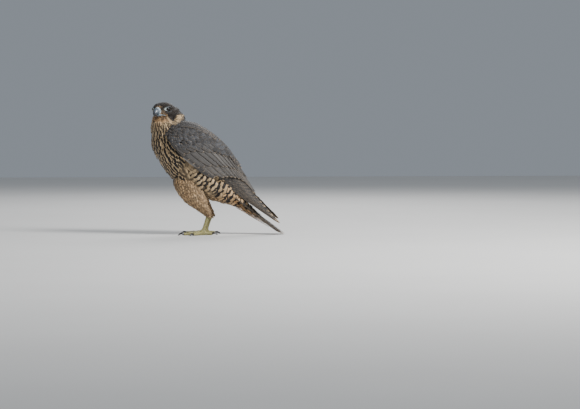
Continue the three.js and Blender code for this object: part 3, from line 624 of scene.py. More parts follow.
class Marks:  # where the markings of the coat lie, for the skin and for each feather
    def __init__(self):
        shares, angles = np.linspace(0, 1, 160), np.linspace(-math.pi, math.pi, 120)
        self.share, self.angle = (grid.ravel() for grid in np.meshgrid(shares, angles, indexing="ij"))
        self.tree = treeOf(trunkPoint(self.share, self.angle, -trunk["coat"]))

    def find(self, points):
        found = np.array([self.tree.find(p)[1:] for p in points])
        near = found[:, 0].astype(int)
        share, angle, far = self.share[near], np.abs(self.angle[near]), found[:, 1]
        f, side, h = headPlaces(points).T
        side = np.abs(side)
        fromMiddle = np.linalg.norm([f + 2, side, h + 2], axis=0)
        inHead = past(h, "skullFoot") * (1 - past(fromMiddle, "skullReach"))
        onThigh = past(far, "thighLift") * (points[:, 2] < 125) * (points[:, 0] > -40)
        body = (1 - inHead) * (1 - onThigh)
        helmetAt = lerp(-6.5, 4.5, past(f, "helmetStep"))
        helmet = past(h - helmetAt, "helmetEdge") * (1 - past(f - 0.35 * h, "helmetFront"))
        aroundEye = 1 - past(np.hypot(f - 10, h - 5.5), "eyePatch")
        lores = 0.8 * past(f, "loresFront") * past(side, "loresSide") * (1 - past(np.abs(h - 1), "loresTall"))
        forehead = past(f, "foreheadFront") * past(h, "foreheadHigh") * inHead
        malarAt, malarHalf = 4.5 + 0.12 * (h + 6), lerp(9.5, 3, past(-h, "malarTaper"))
        malar = 1 - past(np.abs(f - malarAt) - malarHalf, "malarEdge")
        malar = malar * (1 - past(h, "malarTop")) * (1 - past(-h, "malarEnd")) * past(side, "malarSide")
        nape = past(-f, "napeBack") * (1 - past(side, "napeSide")) * past(h, "napeHigh")
        cap = np.clip(helmet + aroundEye * (side > 8) + malar + nape + lores + 0.55 * forehead, 0, 1)
        cap = np.maximum(cap * inHead, nape * (1 - inHead) * past(angle, "napeAngle"))
        cheek = (1 - past(h - helmetAt, "cheekTop")) * past(malarAt - f, "cheekFront") * inHead * (1 - cap)
        chin = past(f - malarAt, "chinFront") * inHead * (1 - cap)
        slate = past(angle, "backAngle") * past(share, "backStart") * body
        collar = np.exp(-(((angle - 1.75) / 0.5) ** 2) - ((share - 0.03) / 0.06) ** 2) * (1 - inHead)
        flank = past(angle, "flankAngle") * past(share, "flankStart") * (1 - slate) * body
        vent = past(share, "ventStart") * (1 - slate) * body
        bar = np.clip(flank + 0.75 * vent + 0.35 * onThigh * (1 - inHead), 0, 1)
        streak = lerp(0.8, 1, past(share, "streakStart")) * body * (1 - 0.6 * collar) + 0.85 * chin
        streak = np.clip(streak - bar + 0.9 * onThigh * (1 - inHead), 0, 1) * (1 - slate) * (1 - cap)
        warm = 0.12 + 0.35 * vent + 0.32 * onThigh + 0.15 * collar + 0.2 * forehead + 0.5 * chin + 0.1 * cheek
        self.where = {"head": inHead, "thigh": onThigh, "angle": angle}
        return {"slate": slate, "cap": cap, "streak": streak, "bar": bar, "warm": np.clip(warm, 0, 1)}


def treeOf(points):
    tree = KDTree(len(points))
    for i, p in enumerate(points):
        tree.insert(p, i)
    tree.balance()
    return tree


def skinPlaces(skin):  # places, outward directions and unwrapped places of the skin's points
    normals = np.empty(len(skin.data.vertices) * 3)
    skin.data.vertices.foreach_get("normal", normals)
    corners = cornerPoints(skin)
    flat = np.empty(len(corners) * 2)
    skin.data.uv_layers[0].uv.foreach_get("vector", flat)
    spots = np.zeros((len(skin.data.vertices), 3))
    spots[corners, :2] = flat.reshape(-1, 2)
    return pointsOf(skin), normals.reshape(-1, 3), spots


def spaced(points, apart, allowed):  # points picked so that none is nearer another than its spacing
    kept = np.empty((0, 3))
    chosen = []
    order = rng.permutation(np.flatnonzero(allowed))
    for block in np.array_split(order, max(1, len(order) // 400)):
        gaps = np.linalg.norm(points[block][:, None] - kept[None], axis=2)
        free = block[(gaps > apart[block][:, None]).all(1)] if len(kept) else block
        picked = []
        for i in free:
            if all(np.linalg.norm(points[i] - points[j]) > apart[i] for j in picked):
                picked.append(i)
        chosen += picked
        kept = np.concatenate([kept, points[picked].reshape(-1, 3)])
    return np.array(chosen)


rowForm = {  # first row and last gap in millimetres, shorter steps at nape and rump, and how roots stray
    "first": 6.0, "last": 3, "nape": 0.72, "rump": 0.75, "strayAbout": 0.1, "strayAlong": 0.09}


def trunkRows(rows):  # staggered rows of feather roots down the trunk, as share, angle, length
    shares = np.linspace(0, 1, 400)
    line = trunkAt(shares)[:, :2]
    run = np.concatenate([[0], np.cumsum(np.linalg.norm(np.diff(line, axis=0), axis=1))])
    places, at, row = [], rowForm["first"], 0
    while at < run[-1] - rowForm["last"]:
        share = float(np.interp(at, run, shares))
        step = rows["step"] * lerp(rowForm["nape"], 1, smooth(share, 0.03, 0.3))
        step = step * lerp(1, rowForm["rump"], smooth(share, 0.8, 1))
        here = trunkAt(share)
        around = 2 * math.pi * math.sqrt((here[2] ** 2 + here[3] ** 2) / 2)
        count = max(6, round(around / (step * rows["wide"])))
        angle = (np.arange(count) + 0.5 * (row % 2)) / count * 2 * math.pi
        angle = angle + rng.normal(0, rowForm["strayAbout"] / count * 2 * math.pi, count)
        offset = rng.normal(0, rowForm["strayAlong"] * step / run[-1], count)
        places.append(np.stack([share + offset, angle, np.full(count, step * rows["long"])], -1))
        at += step
        row += 1
    return np.concatenate(places)


plumeAcross = 5  # points across a small feather
plumeForms = {  # made at a length of 1
    "face": {
        "kinds": 5, "stations": 4, "wide": 0.3, "full": 0.5, "fray": 0.18, "arch": 0.1, "thick": 0.05},
    "soft": {
        "kinds": 6, "stations": 6, "wide": 0.33, "full": 0.5, "fray": 0.12, "arch": 0.09, "thick": 0.025},
    "broad": {
        "kinds": 6, "stations": 6, "wide": 0.36, "full": 0.55, "fray": 0.06, "arch": 0.07, "thick": 0.025},
}


# one small feather, a closed blade with its root at the origin and its tip at x = 1
def plumeObject(name, look):
    t = 1 - (1 - np.linspace(0, 1, look["stations"])) ** 1.25
    onward = np.clip((t - look["full"]) / (1 - look["full"]), 0, 1)
    half = look["wide"] * np.sqrt(np.maximum(0.03, 1 - onward**2.3)) * lerp(0.5, 1, smooth(t, 0, 0.4))
    a = np.linspace(-1, 1, plumeAcross)
    ragged = 1 - look["fray"] * rng.random((len(t), len(a))) * smooth(t, 0.3, 0.8)[:, None] * (np.abs(a) == 1)
    y = half[:, None] * a[None] * ragged
    x = t[:, None] - 0.1 * look["wide"] * a[None] ** 2 * t[:, None]
    x = x - look["fray"] * 0.5 * rng.random(x.shape) * (t[:, None] > 0.9)
    z = look["arch"] * np.sin(math.pi * np.minimum(t * 0.9, 1))[:, None] - 0.3 * np.abs(y) ** 1.5
    z = z + 0.012 * np.exp(-((a[None] / 0.15) ** 2))
    thin = look["thick"] * (1.1 - np.abs(a[None])) * np.ones_like(t)[:, None]
    over, under = np.stack([x, y, z], -1), np.stack([x, y, z - thin], -1)
    points, faces = closedRings(np.concatenate([over, under[:, ::-1]], axis=1))
    mesh = bpy.data.meshes.new(name)
    mesh.from_pydata(points.tolist(), [], faces)
    smoothFaces(mesh)
    plume = bpy.data.objects.new(name, mesh)
    across, along = points[:, 1] / (2 * look["wide"]) + 0.5, np.clip(points[:, 0], 0, 1)
    blade = np.stack([across, along, np.zeros(len(points))], -1)
    layer = mesh.attributes.new("blade", "FLOAT_VECTOR", "POINT")
    layer.data.foreach_set("vector", blade.ravel())
    return plume


def plumeSet(name, look):  # a few like feathers to pick from
    kinds = bpy.data.collections.new(name)
    for i in range(look["kinds"]):
        kinds.objects.link(plumeObject(f"{name}_{i}", look))
    return kinds


# feathers set on their roots by Geometry Nodes; a root carries up, lie, size, raise and its markings
def coatTree():
    tree = bpy.data.node_groups.new("featherCoat", "GeometryNodeTree")
    for name, kind in (
        ("Roots", "Geometry"), ("Feathers", "Collection"), ("Sway", "Float"), ("Uneven", "Float"),
        ("Seed", "Int"), ("Patch", "Float"), ("Finish", "Material"),
    ):
        tree.interface.new_socket(name=name, in_out="INPUT", socket_type=f"NodeSocket{kind}")
    tree.interface.new_socket(name="Coat", in_out="OUTPUT", socket_type="NodeSocketGeometry")

    def node(kind, settings=None, output=0, **sockets):
        made = tree.nodes.new(kind)
        for key, value in (settings or {}).items():
            setattr(made, key, value)
        free = [socket for socket in made.inputs if socket.enabled]
        for key, value in sockets.items():
            target = free[int(key[1:])] if key[1:].isdigit() else next(
                socket for socket in free if socket.name == key.replace("_", " "))
            if isinstance(value, bpy.types.NodeSocket):
                tree.links.new(value, target)
            else:
                target.default_value = value
        return [socket for socket in made.outputs if socket.enabled][output]

    def named(name, kind="FLOAT"):
        return node("GeometryNodeInputNamedAttribute", {"data_type": kind}, Name=name)

    given = tree.nodes.new("NodeGroupInput").outputs
    upright = node("FunctionNodeAlignRotationToVector", {"axis": "Z"}, Vector=named("up", "FLOAT_VECTOR"))
    laid = node(
        "FunctionNodeAlignRotationToVector", {"axis": "X", "pivot_axis": "Z"}, Rotation=upright,
        Vector=named("lie", "FLOAT_VECTOR"))
    chance = node(
        "FunctionNodeRandomValue", {"data_type": "FLOAT_VECTOR"}, Min=(-0.35, -0.3, -1), Max=(0.35, 0.3, 1),
        Seed=given["Seed"])
    swing = node("ShaderNodeVectorMath", {"operation": "SCALE"}, _0=chance, Scale=given["Sway"])
    down = node("ShaderNodeMath", {"operation": "MULTIPLY"}, _0=named("raise"), _1=-1.0)
    tilt = node("ShaderNodeCombineXYZ", Y=down)
    angles = node("ShaderNodeVectorMath", {"operation": "ADD"}, _0=swing, _1=tilt)
    turned = node("FunctionNodeRotateRotation", {"rotation_space": "LOCAL"}, Rotation=laid, Rotate_By=angles)
    more = node("FunctionNodeRandomValue", {"data_type": "FLOAT"}, Min=-1.0, Max=1.0, Seed=given["Seed"])
    grown = node("ShaderNodeMath", {"operation": "MULTIPLY_ADD"}, _0=more, _1=given["Uneven"], _2=1.0)
    scale = node("ShaderNodeMath", {"operation": "MULTIPLY"}, _0=grown, _1=named("size"))
    pick = node("FunctionNodeRandomValue", {"data_type": "INT"}, Min=0, Max=64, Seed=given["Seed"])
    kinds = node(
        "GeometryNodeCollectionInfo", Collection=given["Feathers"], Separate_Children=True,
        Reset_Children=True)
    placed = node(
        "GeometryNodeInstanceOnPoints", Points=given["Roots"], Instance=kinds, Pick_Instance=True,
        Instance_Index=pick, Rotation=turned, Scale=scale)
    real = node("GeometryNodeRealizeInstances", Geometry=placed)
    inPatch = node(
        "ShaderNodeVectorMath", {"operation": "SCALE"}, _0=named("blade", "FLOAT_VECTOR"),
        Scale=given["Patch"])
    spot = node("ShaderNodeVectorMath", {"operation": "ADD"}, _0=named("spot", "FLOAT_VECTOR"), _1=inPatch)
    mapped = node(
        "GeometryNodeStoreNamedAttribute", {"data_type": "FLOAT2", "domain": "CORNER"}, Geometry=real,
        Name=bakeMap, Value=spot)
    finished = node("GeometryNodeSetMaterial", Geometry=mapped, Material=given["Finish"])
    tree.links.new(finished, tree.nodes.new("NodeGroupOutput").inputs["Coat"])
    return tree


coatForm = {"uneven": 0.14, "patch": 0.003}  # how sizes differ, and a feather's width on the map


def growCoat(tree, name, roots, look):  # roots: places in millimetres and what each feather carries
    ground = meshObject(f"roots_{name}", roots.pop("at"), [])
    count = len(ground.data.vertices)
    for key, value in {"tone": rng.random(count), **roots}.items():
        setAttribute(ground, key, value)
    modifier = ground.modifiers.new("coat", "NODES")
    modifier.node_group = tree
    values = {
        "Feathers": look["plumes"], "Sway": look["sway"], "Uneven": coatForm["uneven"], "Seed": look["seed"],
        "Patch": coatForm["patch"], "Finish": look["finish"]}
    for socket in tree.interface.items_tree:
        if socket.in_out == "INPUT" and socket.name in values:
            modifier[socket.identifier] = values[socket.name]
    coat = bakedMesh(ground, name)
    dropObject(ground)
    print("coat", name, count, "feathers", len(coat.data.polygons), "faces")
    return coat


# large feathers, each laid along a line of places on the wing or the tail
def outlineOf(t, pointed):
    reach = np.clip((t - pointed * 0.6) / (1 - pointed * 0.6), 0, 1)
    return lerp(0.6, 1, smooth(t, 0, 0.3)) * np.sqrt(np.maximum(0.003, 1 - reach ** lerp(3.4, 1.7, pointed)))


vaneForm = {  # the splits, the raised shaft and the thinning towards edge and tip
    "splitChance": 0.35, "splitAt": (0.45, 0.85), "splitDeep": 0.28, "splitLong": 0.018, "shaftHigh": 0.28,
    "shaftWide": 0.12, "edgeThin": 0.75, "tipThin": 0.45,
}


class Vanes:  # collects feathers into one mesh with its attributes and patches
    def __init__(self, name, along=22, across=4):
        self.name, self.along, self.across = name, along, across
        self.points, self.faces, self.blades, self.marks = [], [], [], []

    def add(self, place, half, pointed, long, marks, thick=0.55, cup=0.1, fray=0.05):
        # place(t, reach, lift) gives points; reach is millimetres aside from the shaft
        t = 1 - (1 - np.linspace(0, 1, self.along)) ** 1.35
        a = np.sin(np.linspace(-1, 1, 2 * self.across + 1) * math.pi / 2)
        wide = half * outlineOf(t, pointed)
        ragged = 1 - fray * rng.random((self.along, 2)) * smooth(t, 0.25, 0.6)[:, None]
        if rng.random() < vaneForm["splitChance"]:
            notch = (t - rng.uniform(*vaneForm["splitAt"])) / vaneForm["splitLong"]
            ragged[:, int(rng.integers(2))] -= vaneForm["splitDeep"] * np.exp(-(notch**2))
        scale = np.where(a[None] < 0, ragged[:, :1], ragged[:, 1:])
        reach = wide[:, None] * a[None] * scale
        ridge = vaneForm["shaftHigh"] * np.exp(-((a / vaneForm["shaftWide"]) ** 2))[None]
        ridge = ridge * (1 - 0.8 * t[:, None])
        crown = -cup * wide[:, None] * (a[None] ** 2) + ridge
        thin = thick * (1 - vaneForm["edgeThin"] * np.abs(a[None]) ** 2)
        thin = thin * lerp(1, vaneForm["tipThin"], t)[:, None]
        down = np.broadcast_to(t[:, None], reach.shape)
        over, under = place(down, reach, crown), place(down, reach, crown - thin)
        points, faces = closedRings(np.concatenate([over, under[:, ::-1]], axis=1))
        start = sum(len(p) for p in self.points)
        aside = np.broadcast_to(a[None] / 2 + 0.5, down.shape)
        blade = np.stack([aside, down, np.full(down.shape, long)], -1)
        blade = np.concatenate([blade, blade[:, ::-1]], axis=1).reshape(-1, 3)
        ends = np.array([[0.5, 0, long], [0.5, 1, long]])
        self.points.append(points)
        self.faces += [[start + i for i in face] for face in faces]
        self.blades.append(np.concatenate([blade, ends]))
        self.marks.append((len(points), marks))

    def build(self, finish):
        vanes = meshObject(self.name, np.concatenate(self.points), self.faces)
        blade = np.concatenate(self.blades)
        setAttribute(vanes, "blade", blade)
        for key in self.marks[0][1]:
            setAttribute(vanes, key, np.concatenate([np.full(n, marks[key]) for n, marks in self.marks]))
        # every feather gets a long strip of its own on the map
        cell = np.concatenate([np.full(n, i) for i, (n, _) in enumerate(self.marks)])
        count = len(self.marks)
        columns = max(1, math.ceil(math.sqrt(count * 5)))
        rows = math.ceil(count / columns)
        size = np.array([1 / columns, 1 / rows])
        corner = np.stack([cell % columns, cell // columns], -1) * size
        flat = corner + (0.06 + 0.88 * blade[:, :2]) * size
        layer = vanes.data.uv_layers.new(name=bakeMap)
        layer.uv.foreach_set("vector", flat[cornerPoints(vanes)].ravel())
        vanes.data.materials.append(finish)
        outwards(vanes)
        return vanes


tiers = {  # each row lies over the one before it; root and tip are lines of (u, w) across the wing
    "primaries": {
        "count": 10, "half": 7.8, "layer": -4.5, "pointed": 0.8, "spread": 12, "stacked": True,
        "root": [(0.34, 0.05), (0.38, 0.3), (0.42, 0.58)],
        "tip": [(0.985, 0.3), (1.0, 0.5), (0.91, 0.58), (0.81, 0.7), (0.71, 0.78)],
        "marks": {"bars": 0.35, "fringe": 0.9, "paleness": 0.0}},
    "secondaries": {
        "count": 11, "half": 7.6, "layer": -2.4, "pointed": 0.42, "spread": 5.0,
        "root": [(0.3, 0.08), (0.34, 0.5), (0.4, 0.9)],
        "tip": [(0.5, 0.06), (0.54, 0.31), (0.59, 0.6), (0.715, 0.92)],
        "marks": {"bars": 0.15, "fringe": 0.6, "paleness": 0.6}, "broader": 0.8},
    "greaterCoverts": {
        "count": 12, "half": 6.2, "layer": -0.6, "pointed": 0.4, "spread": 4.6,
        "root": [(0.2, 0.06), (0.27, 0.5), (0.36, 0.92)],
        "tip": [(0.37, 0.05), (0.45, 0.35), (0.515, 0.64), (0.595, 0.94)],
        "marks": {"bars": 0.0, "fringe": 0.38, "paleness": 0.55}},
    "medianCoverts": {
        "count": 14, "half": 5.3, "layer": 0.6, "pointed": 0.35, "spread": 4.2,
        "root": [(0.14, 0.08), (0.24, 0.5), (0.34, 0.93)],
        "tip": [(0.235, 0.07), (0.34, 0.4), (0.43, 0.67), (0.49, 0.94)],
        "marks": {"bars": 0.0, "fringe": 0.5, "paleness": 0.08}},
}
stacking = {"step": 0.78, "rise": 9.2, "from": 0.55}
handCoverts = {
    "count": 8, "half": 4.2, "w": 0.045, "from": 0.07, "to": 0.5, "long": 0.13, "lift": 0.7, "sink": 0.25,
    "lean": 0.05, "pointed": 0.45,
}
scapulars = {  # a row of them lies along each w
    "count": 9, "from": 0.05, "step": 0.036, "long": 0.13, "longer": 0.004, "half": 8.5,
    "w": (0.84, 0.95, 1.05), "lift": 1.9, "sink": 0.12, "rise": 0.3, "pointed": 0.38, "top": 1.12,
}
coverts = {  # small feathers in staggered rows from the wrist to the dark coverts' edge
    "edge": ((0, 0.1, 0.4, 0.66, 1), (0.15, 0.19, 0.29, 0.385, 0.45)), "step": 6.2, "apart": 7.4,
    "long": 2.2, "sunk": -0.9, "from": 0.004, "to": 0.46, "crowd": 1.15, "beyond": 0.035,
}
armForm = {"rings": 44, "across": 30, "under": -1.6, "deeper": 3.6}
wingMarks = {"slate": 1.0, "cap": 0.0, "streak": 0.0, "bar": 0.0, "warm": 0.2}


def wingSpan(u):
    s = wingAt(np.clip(u, 0, 1))
    return np.sqrt((s[..., 0] - s[..., 3]) ** 2 + (s[..., 2] - s[..., 5]) ** 2 + (s[..., 1] - s[..., 4]) ** 2)


def layOnWing(vanes, side, root, tip, lift, marks, **form):  # form: half, lean, pointed, top
    ends = wingFace(np.array([root[0], tip[0]]), np.array([root[1], tip[1]]))
    bow = rng.uniform(-0.01, 0.015)

    def place(t, reach, crown):
        u = lerp(root[0], tip[0], t)
        w = lerp(root[1], tip[1], t) + bow * np.sin(math.pi * t)
        sunk = 3.0 * (1 - smooth(t, 0, 0.3))
        edge = np.clip(w + reach / wingSpan(u), 0.0, form.get("top", 1.0))
        return wingPoint(side, u, edge, lift(u) - form["lean"] * reach - sunk + crown)

    vanes.add(place, form["half"], form["pointed"], float(np.linalg.norm(ends[1] - ends[0])), marks)


def wingFeathers(side, sideName, finish):
    made = []
    for name, tier in tiers.items():
        vanes = Vanes(f"{name}_{sideName}")
        rootAt, tipAt = runThrough(tier["root"]), runThrough(tier["tip"])
        stacked = 1 if tier.get("stacked") else 0
        for k in range(tier["count"]):
            share = k / (tier["count"] - 1)
            base = tier["layer"] - stacked * stacking["step"] * (tier["count"] - 1 - k)
            tone = rng.random()
            broad = tier.get("broader", 0) * smooth(share, 0.65, 1)
            layOnWing(
                vanes, side, rootAt(share), tipAt(share) + rng.normal(0, 0.004, 2),
                lambda u, base=base: base + stacked * stacking["rise"] * smooth(u, stacking["from"], 1),
                {**tier["marks"], "tone": tone}, half=tier["half"] * rng.uniform(0.95, 1.05) * (1 + broad),
                lean=1.0 / tier["spread"], pointed=tier["pointed"] * (1 - 0.7 * broad))
        made.append(vanes.build(finish))
    extra = Vanes(f"scapulars_{sideName}")
    plain = {"bars": 0.0, "fringe": 0.75, "paleness": 0.12}
    for j, w in enumerate(scapulars["w"]):
        for k in range(scapulars["count"]):
            u = scapulars["from"] + scapulars["step"] * (k + 0.5 * (j % 2))
            lift = scapulars["lift"] - scapulars["sink"] * k + scapulars["rise"] * j
            layOnWing(
                extra, side, (u, w), (u + scapulars["long"] + scapulars["longer"] * k, w - 0.01),
                lambda u, lift=lift: lift, {**plain, "tone": rng.random()}, half=scapulars["half"],
                lean=0.1 - 0.08 * j, pointed=scapulars["pointed"], top=scapulars["top"])
    for k in range(handCoverts["count"]):
        share = k / (handCoverts["count"] - 1)
        end = lerp(handCoverts["from"] + handCoverts["long"], handCoverts["to"], share)
        lift = handCoverts["lift"] - handCoverts["sink"] * k
        layOnWing(
            extra, side, (end - handCoverts["long"], handCoverts["w"]), (end, handCoverts["w"]),
            lambda u, lift=lift: lift, {**plain, "tone": rng.random()}, half=handCoverts["half"],
            lean=handCoverts["lean"], pointed=handCoverts["pointed"])
    made.append(extra.build(finish))
    return made


def covertRoots(side):
    places, row, u = [], 0, coverts["from"]
    nearWrist, nearTip = wingFace(np.array([0.05, 0.95]), np.array([0.5, 0.5]))
    length = float(np.linalg.norm(nearWrist - nearTip)) / 0.9
    while u < coverts["to"]:
        count = int(wingSpan(np.array(u)) * coverts["crowd"] / coverts["apart"]) + 1
        w = (np.arange(count) + 0.5 * (row % 2) + 0.25) / count
        w = w + rng.normal(0, 0.12 / count, count)
        grow = lerp(0.8, 1.25, smooth(u, 0, 0.4))
        size = coverts["step"] * coverts["long"] * grow * np.ones(count)
        jitter = rng.normal(0, 0.004, count)
        end = u + jitter + size / length
        inside = (end < np.interp(w, *coverts["edge"]) + coverts["beyond"]) & (w < 1)
        places.append(np.stack([u + jitter, w, size], -1)[inside])
        u += coverts["step"] * grow / length
        row += 1
    u, w, size = np.concatenate(places).T
    at = wingPoint(side, u, w, coverts["sunk"])
    onward = wingPoint(side, u + 0.01, w - 0.002, coverts["sunk"]) - at
    upward = wingPoint(side, u, w + 0.01, coverts["sunk"]) - at
    out = unit(np.cross(onward, upward))
    out = out * np.where(out[:, 1:2] * side < 0, -1, 1)
    overEdge, overWrist = 0.5 * (1 - smooth(w, 0, 0.08)), 0.5 * (1 - smooth(u, 0, 0.04))
    up = unit(out - unit(upward) * overEdge[:, None] - unit(onward) * overWrist[:, None])
    ones = np.ones(len(u))
    spot = np.stack([0.05 + 0.9 * u, 0.05 + 0.9 * w, np.zeros(len(u))], -1)
    return {
        "at": at, "up": up, "lie": unit(onward), "size": size * mm, "raise": 0.1 * ones,
        **{key: value * ones for key, value in wingMarks.items()}, "spot": spot, "long": size, "beat": ones}


def wingArm(side, sideName):  # the flesh of the folded wing, under its feathers
    u = np.linspace(0, wing["armEnd"], armForm["rings"])[:, None]
    w = np.linspace(0, 1, armForm["across"])[None]
    deep = lerp(wing["body"], wing["tip"], smooth(u, 0.45, 1)) * (1 - 0.45 * smooth(u, 0.35, 0.5))
    covered = smooth(u - lerp(0.1, 0.3, w), -0.06, 0.08)
    inner = wingPoint(side, u, w, -deep)
    outer = wingPoint(side, u, w, armForm["under"] - armForm["deeper"] * covered)
    arm = meshObject(f"arm_{sideName}", *closedRings(np.concatenate([inner, outer[:, ::-1]], axis=1)))
    outwards(arm)
    unwrap(arm)
    for key, value in wingMarks.items():
        setAttribute(arm, key, np.full(len(arm.data.vertices), value))
    return arm


rectrices = {
    "pairs": 6, "half": 8.8, "middle": 0.55, "shorter": 0.5, "out": 2.1, "inner": 0.6, "step": 1.15,
    "roof": 0.03}
tailTufts = {
    "over": {
        "count": 13, "rows": 2, "half": 6.4, "long": 46, "reach": 34, "apart": 3.4, "shorter": 5,
        "lift": (3.5, 1.4)},
    "under": {
        "count": 9, "rows": 3, "half": 7.2, "long": 54, "reach": 50, "apart": 4.2, "shorter": 8,
        "lift": (-15.5, -9.6)},
}

tuftRows = {"back": 15, "rise": 1.5, "fall": 1.1, "stagger": 0.4}  # from row to row and towards the sides


def tailFeathers(finish):
    r = rectrices
    vanes = Vanes("rectrices", along=34, across=5)
    for side in (1, -1):
        for k in range(r["pairs"]):
            reach = 1 - r["shorter"] * k * k / tail["length"]
            depth = (1 if side < 0 else 0) if k == 0 else k + 1

            def place(t, aside, crown, side=side, k=k, reach=reach, depth=depth):
                fan = lerp(0.3, 1, smooth(t, 0, 0.9))
                centre = r["half"] * r["middle"] if k == 0 else r["half"] + r["inner"] / fan + r["out"] * k
                lift = -r["step"] * depth - r["roof"] * aside + crown
                return tailPoint(t * reach, side * fan * (centre + aside), lift)

            marks = {"bars": 0.8, "fringe": 0.9, "paleness": 0.25, "tone": rng.uniform(0.3, 0.8)}
            vanes.add(place, r["half"], 0.3, tail["length"], marks)
    return vanes.build(finish)


def tailCoverts(name, look, marks, finish):
    vanes = Vanes(name, along=16, across=4)
    way = 1 if look["lift"][0] > 0 else -1
    for row in range(look["rows"]):
        for k in range(look["count"]):
            aside = k - (look["count"] - 1) / 2
            away = abs(aside)
            end = look["reach"] - tuftRows["back"] * row + look["long"] - look["shorter"] * away
            end = end / tail["length"] + rng.normal(0, 0.012)
            lifts = np.array(look["lift"]) + way * tuftRows["rise"] * row - way * tuftRows["fall"] * away

            def place(t, reach, crown, aside=aside, end=end, lifts=lifts):
                s = lerp(end - look["long"] / tail["length"], end, t)
                lift = lerp(lifts[0], lifts[1], t) + way * crown + 0.02 * reach
                across = (aside + tuftRows["stagger"] * (row % 2)) * look["apart"]
                return tailPoint(s, across + reach, lift)

            form = {"thick": 0.4, "cup": 0.14, "fray": 0.16}
            vanes.add(place, look["half"], 0.45, look["long"], {**marks, "tone": rng.random()}, **form)
    return vanes.build(finish)


# eyes, with the bare ring of skin round each
eyeForm = {"ball": 6.5, "sunk": 0.7, "cornea": 0.55, "corneaWide": 0.55, "ahead": 14}
lid = {"long": 5.6, "tall": 4.9, "wide": 1.1, "corner": 1.4, "back": 0.9, "front": 1.9, "proud": 0.4}


def eyeball(side, sideName, finish):
    down, about = sheet(40, 48)
    polar = 0.02 + down * (math.pi - 0.04)
    out = eyeForm["ball"] + eyeForm["cornea"] * np.exp(-((polar / eyeForm["corneaWide"]) ** 4))
    f = out * np.sin(polar) * np.cos(about)
    h = out * np.sin(polar) * np.sin(about)
    outward = out * np.cos(polar)
    ahead = math.radians(eyeForm["ahead"])  # the eye looks a little forward
    turnedF = f * math.cos(ahead) + outward * math.sin(ahead)
    outward = outward * math.cos(ahead) - f * math.sin(ahead)
    eyeF, eyeL, eyeH = head["eye"]
    places = onHead(eyeF + turnedF, side * (eyeL - eyeForm["sunk"] + outward), eyeH + h)
    eye = meshObject(f"eyeball_{sideName}", *closedRings(places))
    setAttribute(eye, "gaze", np.concatenate([polar.ravel(), [0, math.pi]]) / math.pi)
    outwards(eye)
    eye.data.materials.append(finish)
    return eye


def orbitRing(side, sideName, finish):
    around, section = 120, 14
    eyeF, eyeL, eyeH = head["eye"]
    theta = np.linspace(0, 2 * math.pi, around, endpoint=False)[:, None]
    q = np.linspace(0, 2 * math.pi, section, endpoint=False)[None]
    toBill = np.exp(-((np.minimum(theta, 2 * math.pi - theta) / 0.42) ** 2))
    toBack = np.exp(-(((theta - math.pi) / 0.35) ** 2))
    inner = np.hypot(lid["long"] * np.cos(theta), lid["tall"] * np.sin(theta))
    inner = inner + lid["corner"] * toBill + lid["back"] * toBack
    outer = inner + lid["wide"] + lid["front"] * toBill + 0.3 * np.sin(theta)
    r = (inner + outer) / 2 + (outer - inner) / 2 * np.cos(q)
    f, h = eyeF + r * np.cos(theta), eyeH + r * np.sin(theta)
    onBall = eyeL - eyeForm["sunk"] + np.sqrt(np.maximum(eyeForm["ball"] ** 2 - inner**2, 0.5)) + 0.45
    onFace = headSide(eyeF + outer * np.cos(theta), eyeH + outer * np.sin(theta)) - head["coat"] + 0.5
    bead = 1 + 0.1 * np.sin(theta * 30)
    out = lerp(onBall, onFace, (r - inner) / (outer - inner)) + lid["proud"] * bead * np.sin(q)
    points = onHead(f, side * out, h)
    i, j = np.meshgrid(np.arange(around), np.arange(section), indexing="ij")
    a, b = i * section + j, i * section + (j + 1) % section
    c, d = ((i + 1) % around) * section + j, ((i + 1) % around) * section + (j + 1) % section
    faces = np.stack([a, b, d, c], -1).reshape(-1, 4).tolist()
    ring = meshObject(f"orbit_{sideName}", points.reshape(-1, 3), faces)
    setAttribute(ring, "pale", np.repeat(smooth(toBill, 0.15, 0.6), section))
    outwards(ring)
    ring.data.materials.append(finish)
    return ring


# bill
def billPoint(stations, share, angle, grow, toothed):
    at = runThrough(stations)
    here, before, after = at(share), at(np.maximum(0, share - 0.02)), at(np.minimum(1, share + 0.02))
    along = unit(after[..., :2] - before[..., :2])
    toothAt, toothLong, toothDeep = bill["tooth"]
    notch = toothed * toothDeep * np.exp(-(((share - toothAt) / toothLong) ** 2))
    notch = notch - toothed * 0.5 * np.exp(-(((share - toothAt - 0.1) / 0.05) ** 2))
    keel = 1 + 0.08 * np.maximum(0, np.sin(angle)) ** 6
    up = (here[..., 2] + grow) * np.sin(angle) * keel - np.where(np.sin(angle) < -0.5, notch, 0)
    aside = (here[..., 3] + grow) * np.cos(angle) * (1 - 0.1 * np.sin(angle))
    return here[..., 0] - along[..., 1] * up, aside, here[..., 1] + along[..., 0] * up


def hornPiece(name, stations, grid, start, grow, toothed):
    share, angle = sheet(*grid)
    share = lerp(start, 1, share)
    piece = meshObject(name, *closedRings(onHead(*billPoint(stations, share, angle, grow, toothed))))
    setAttribute(piece, "toTip", np.concatenate([share.ravel(), [0, 1]]))
    return piece


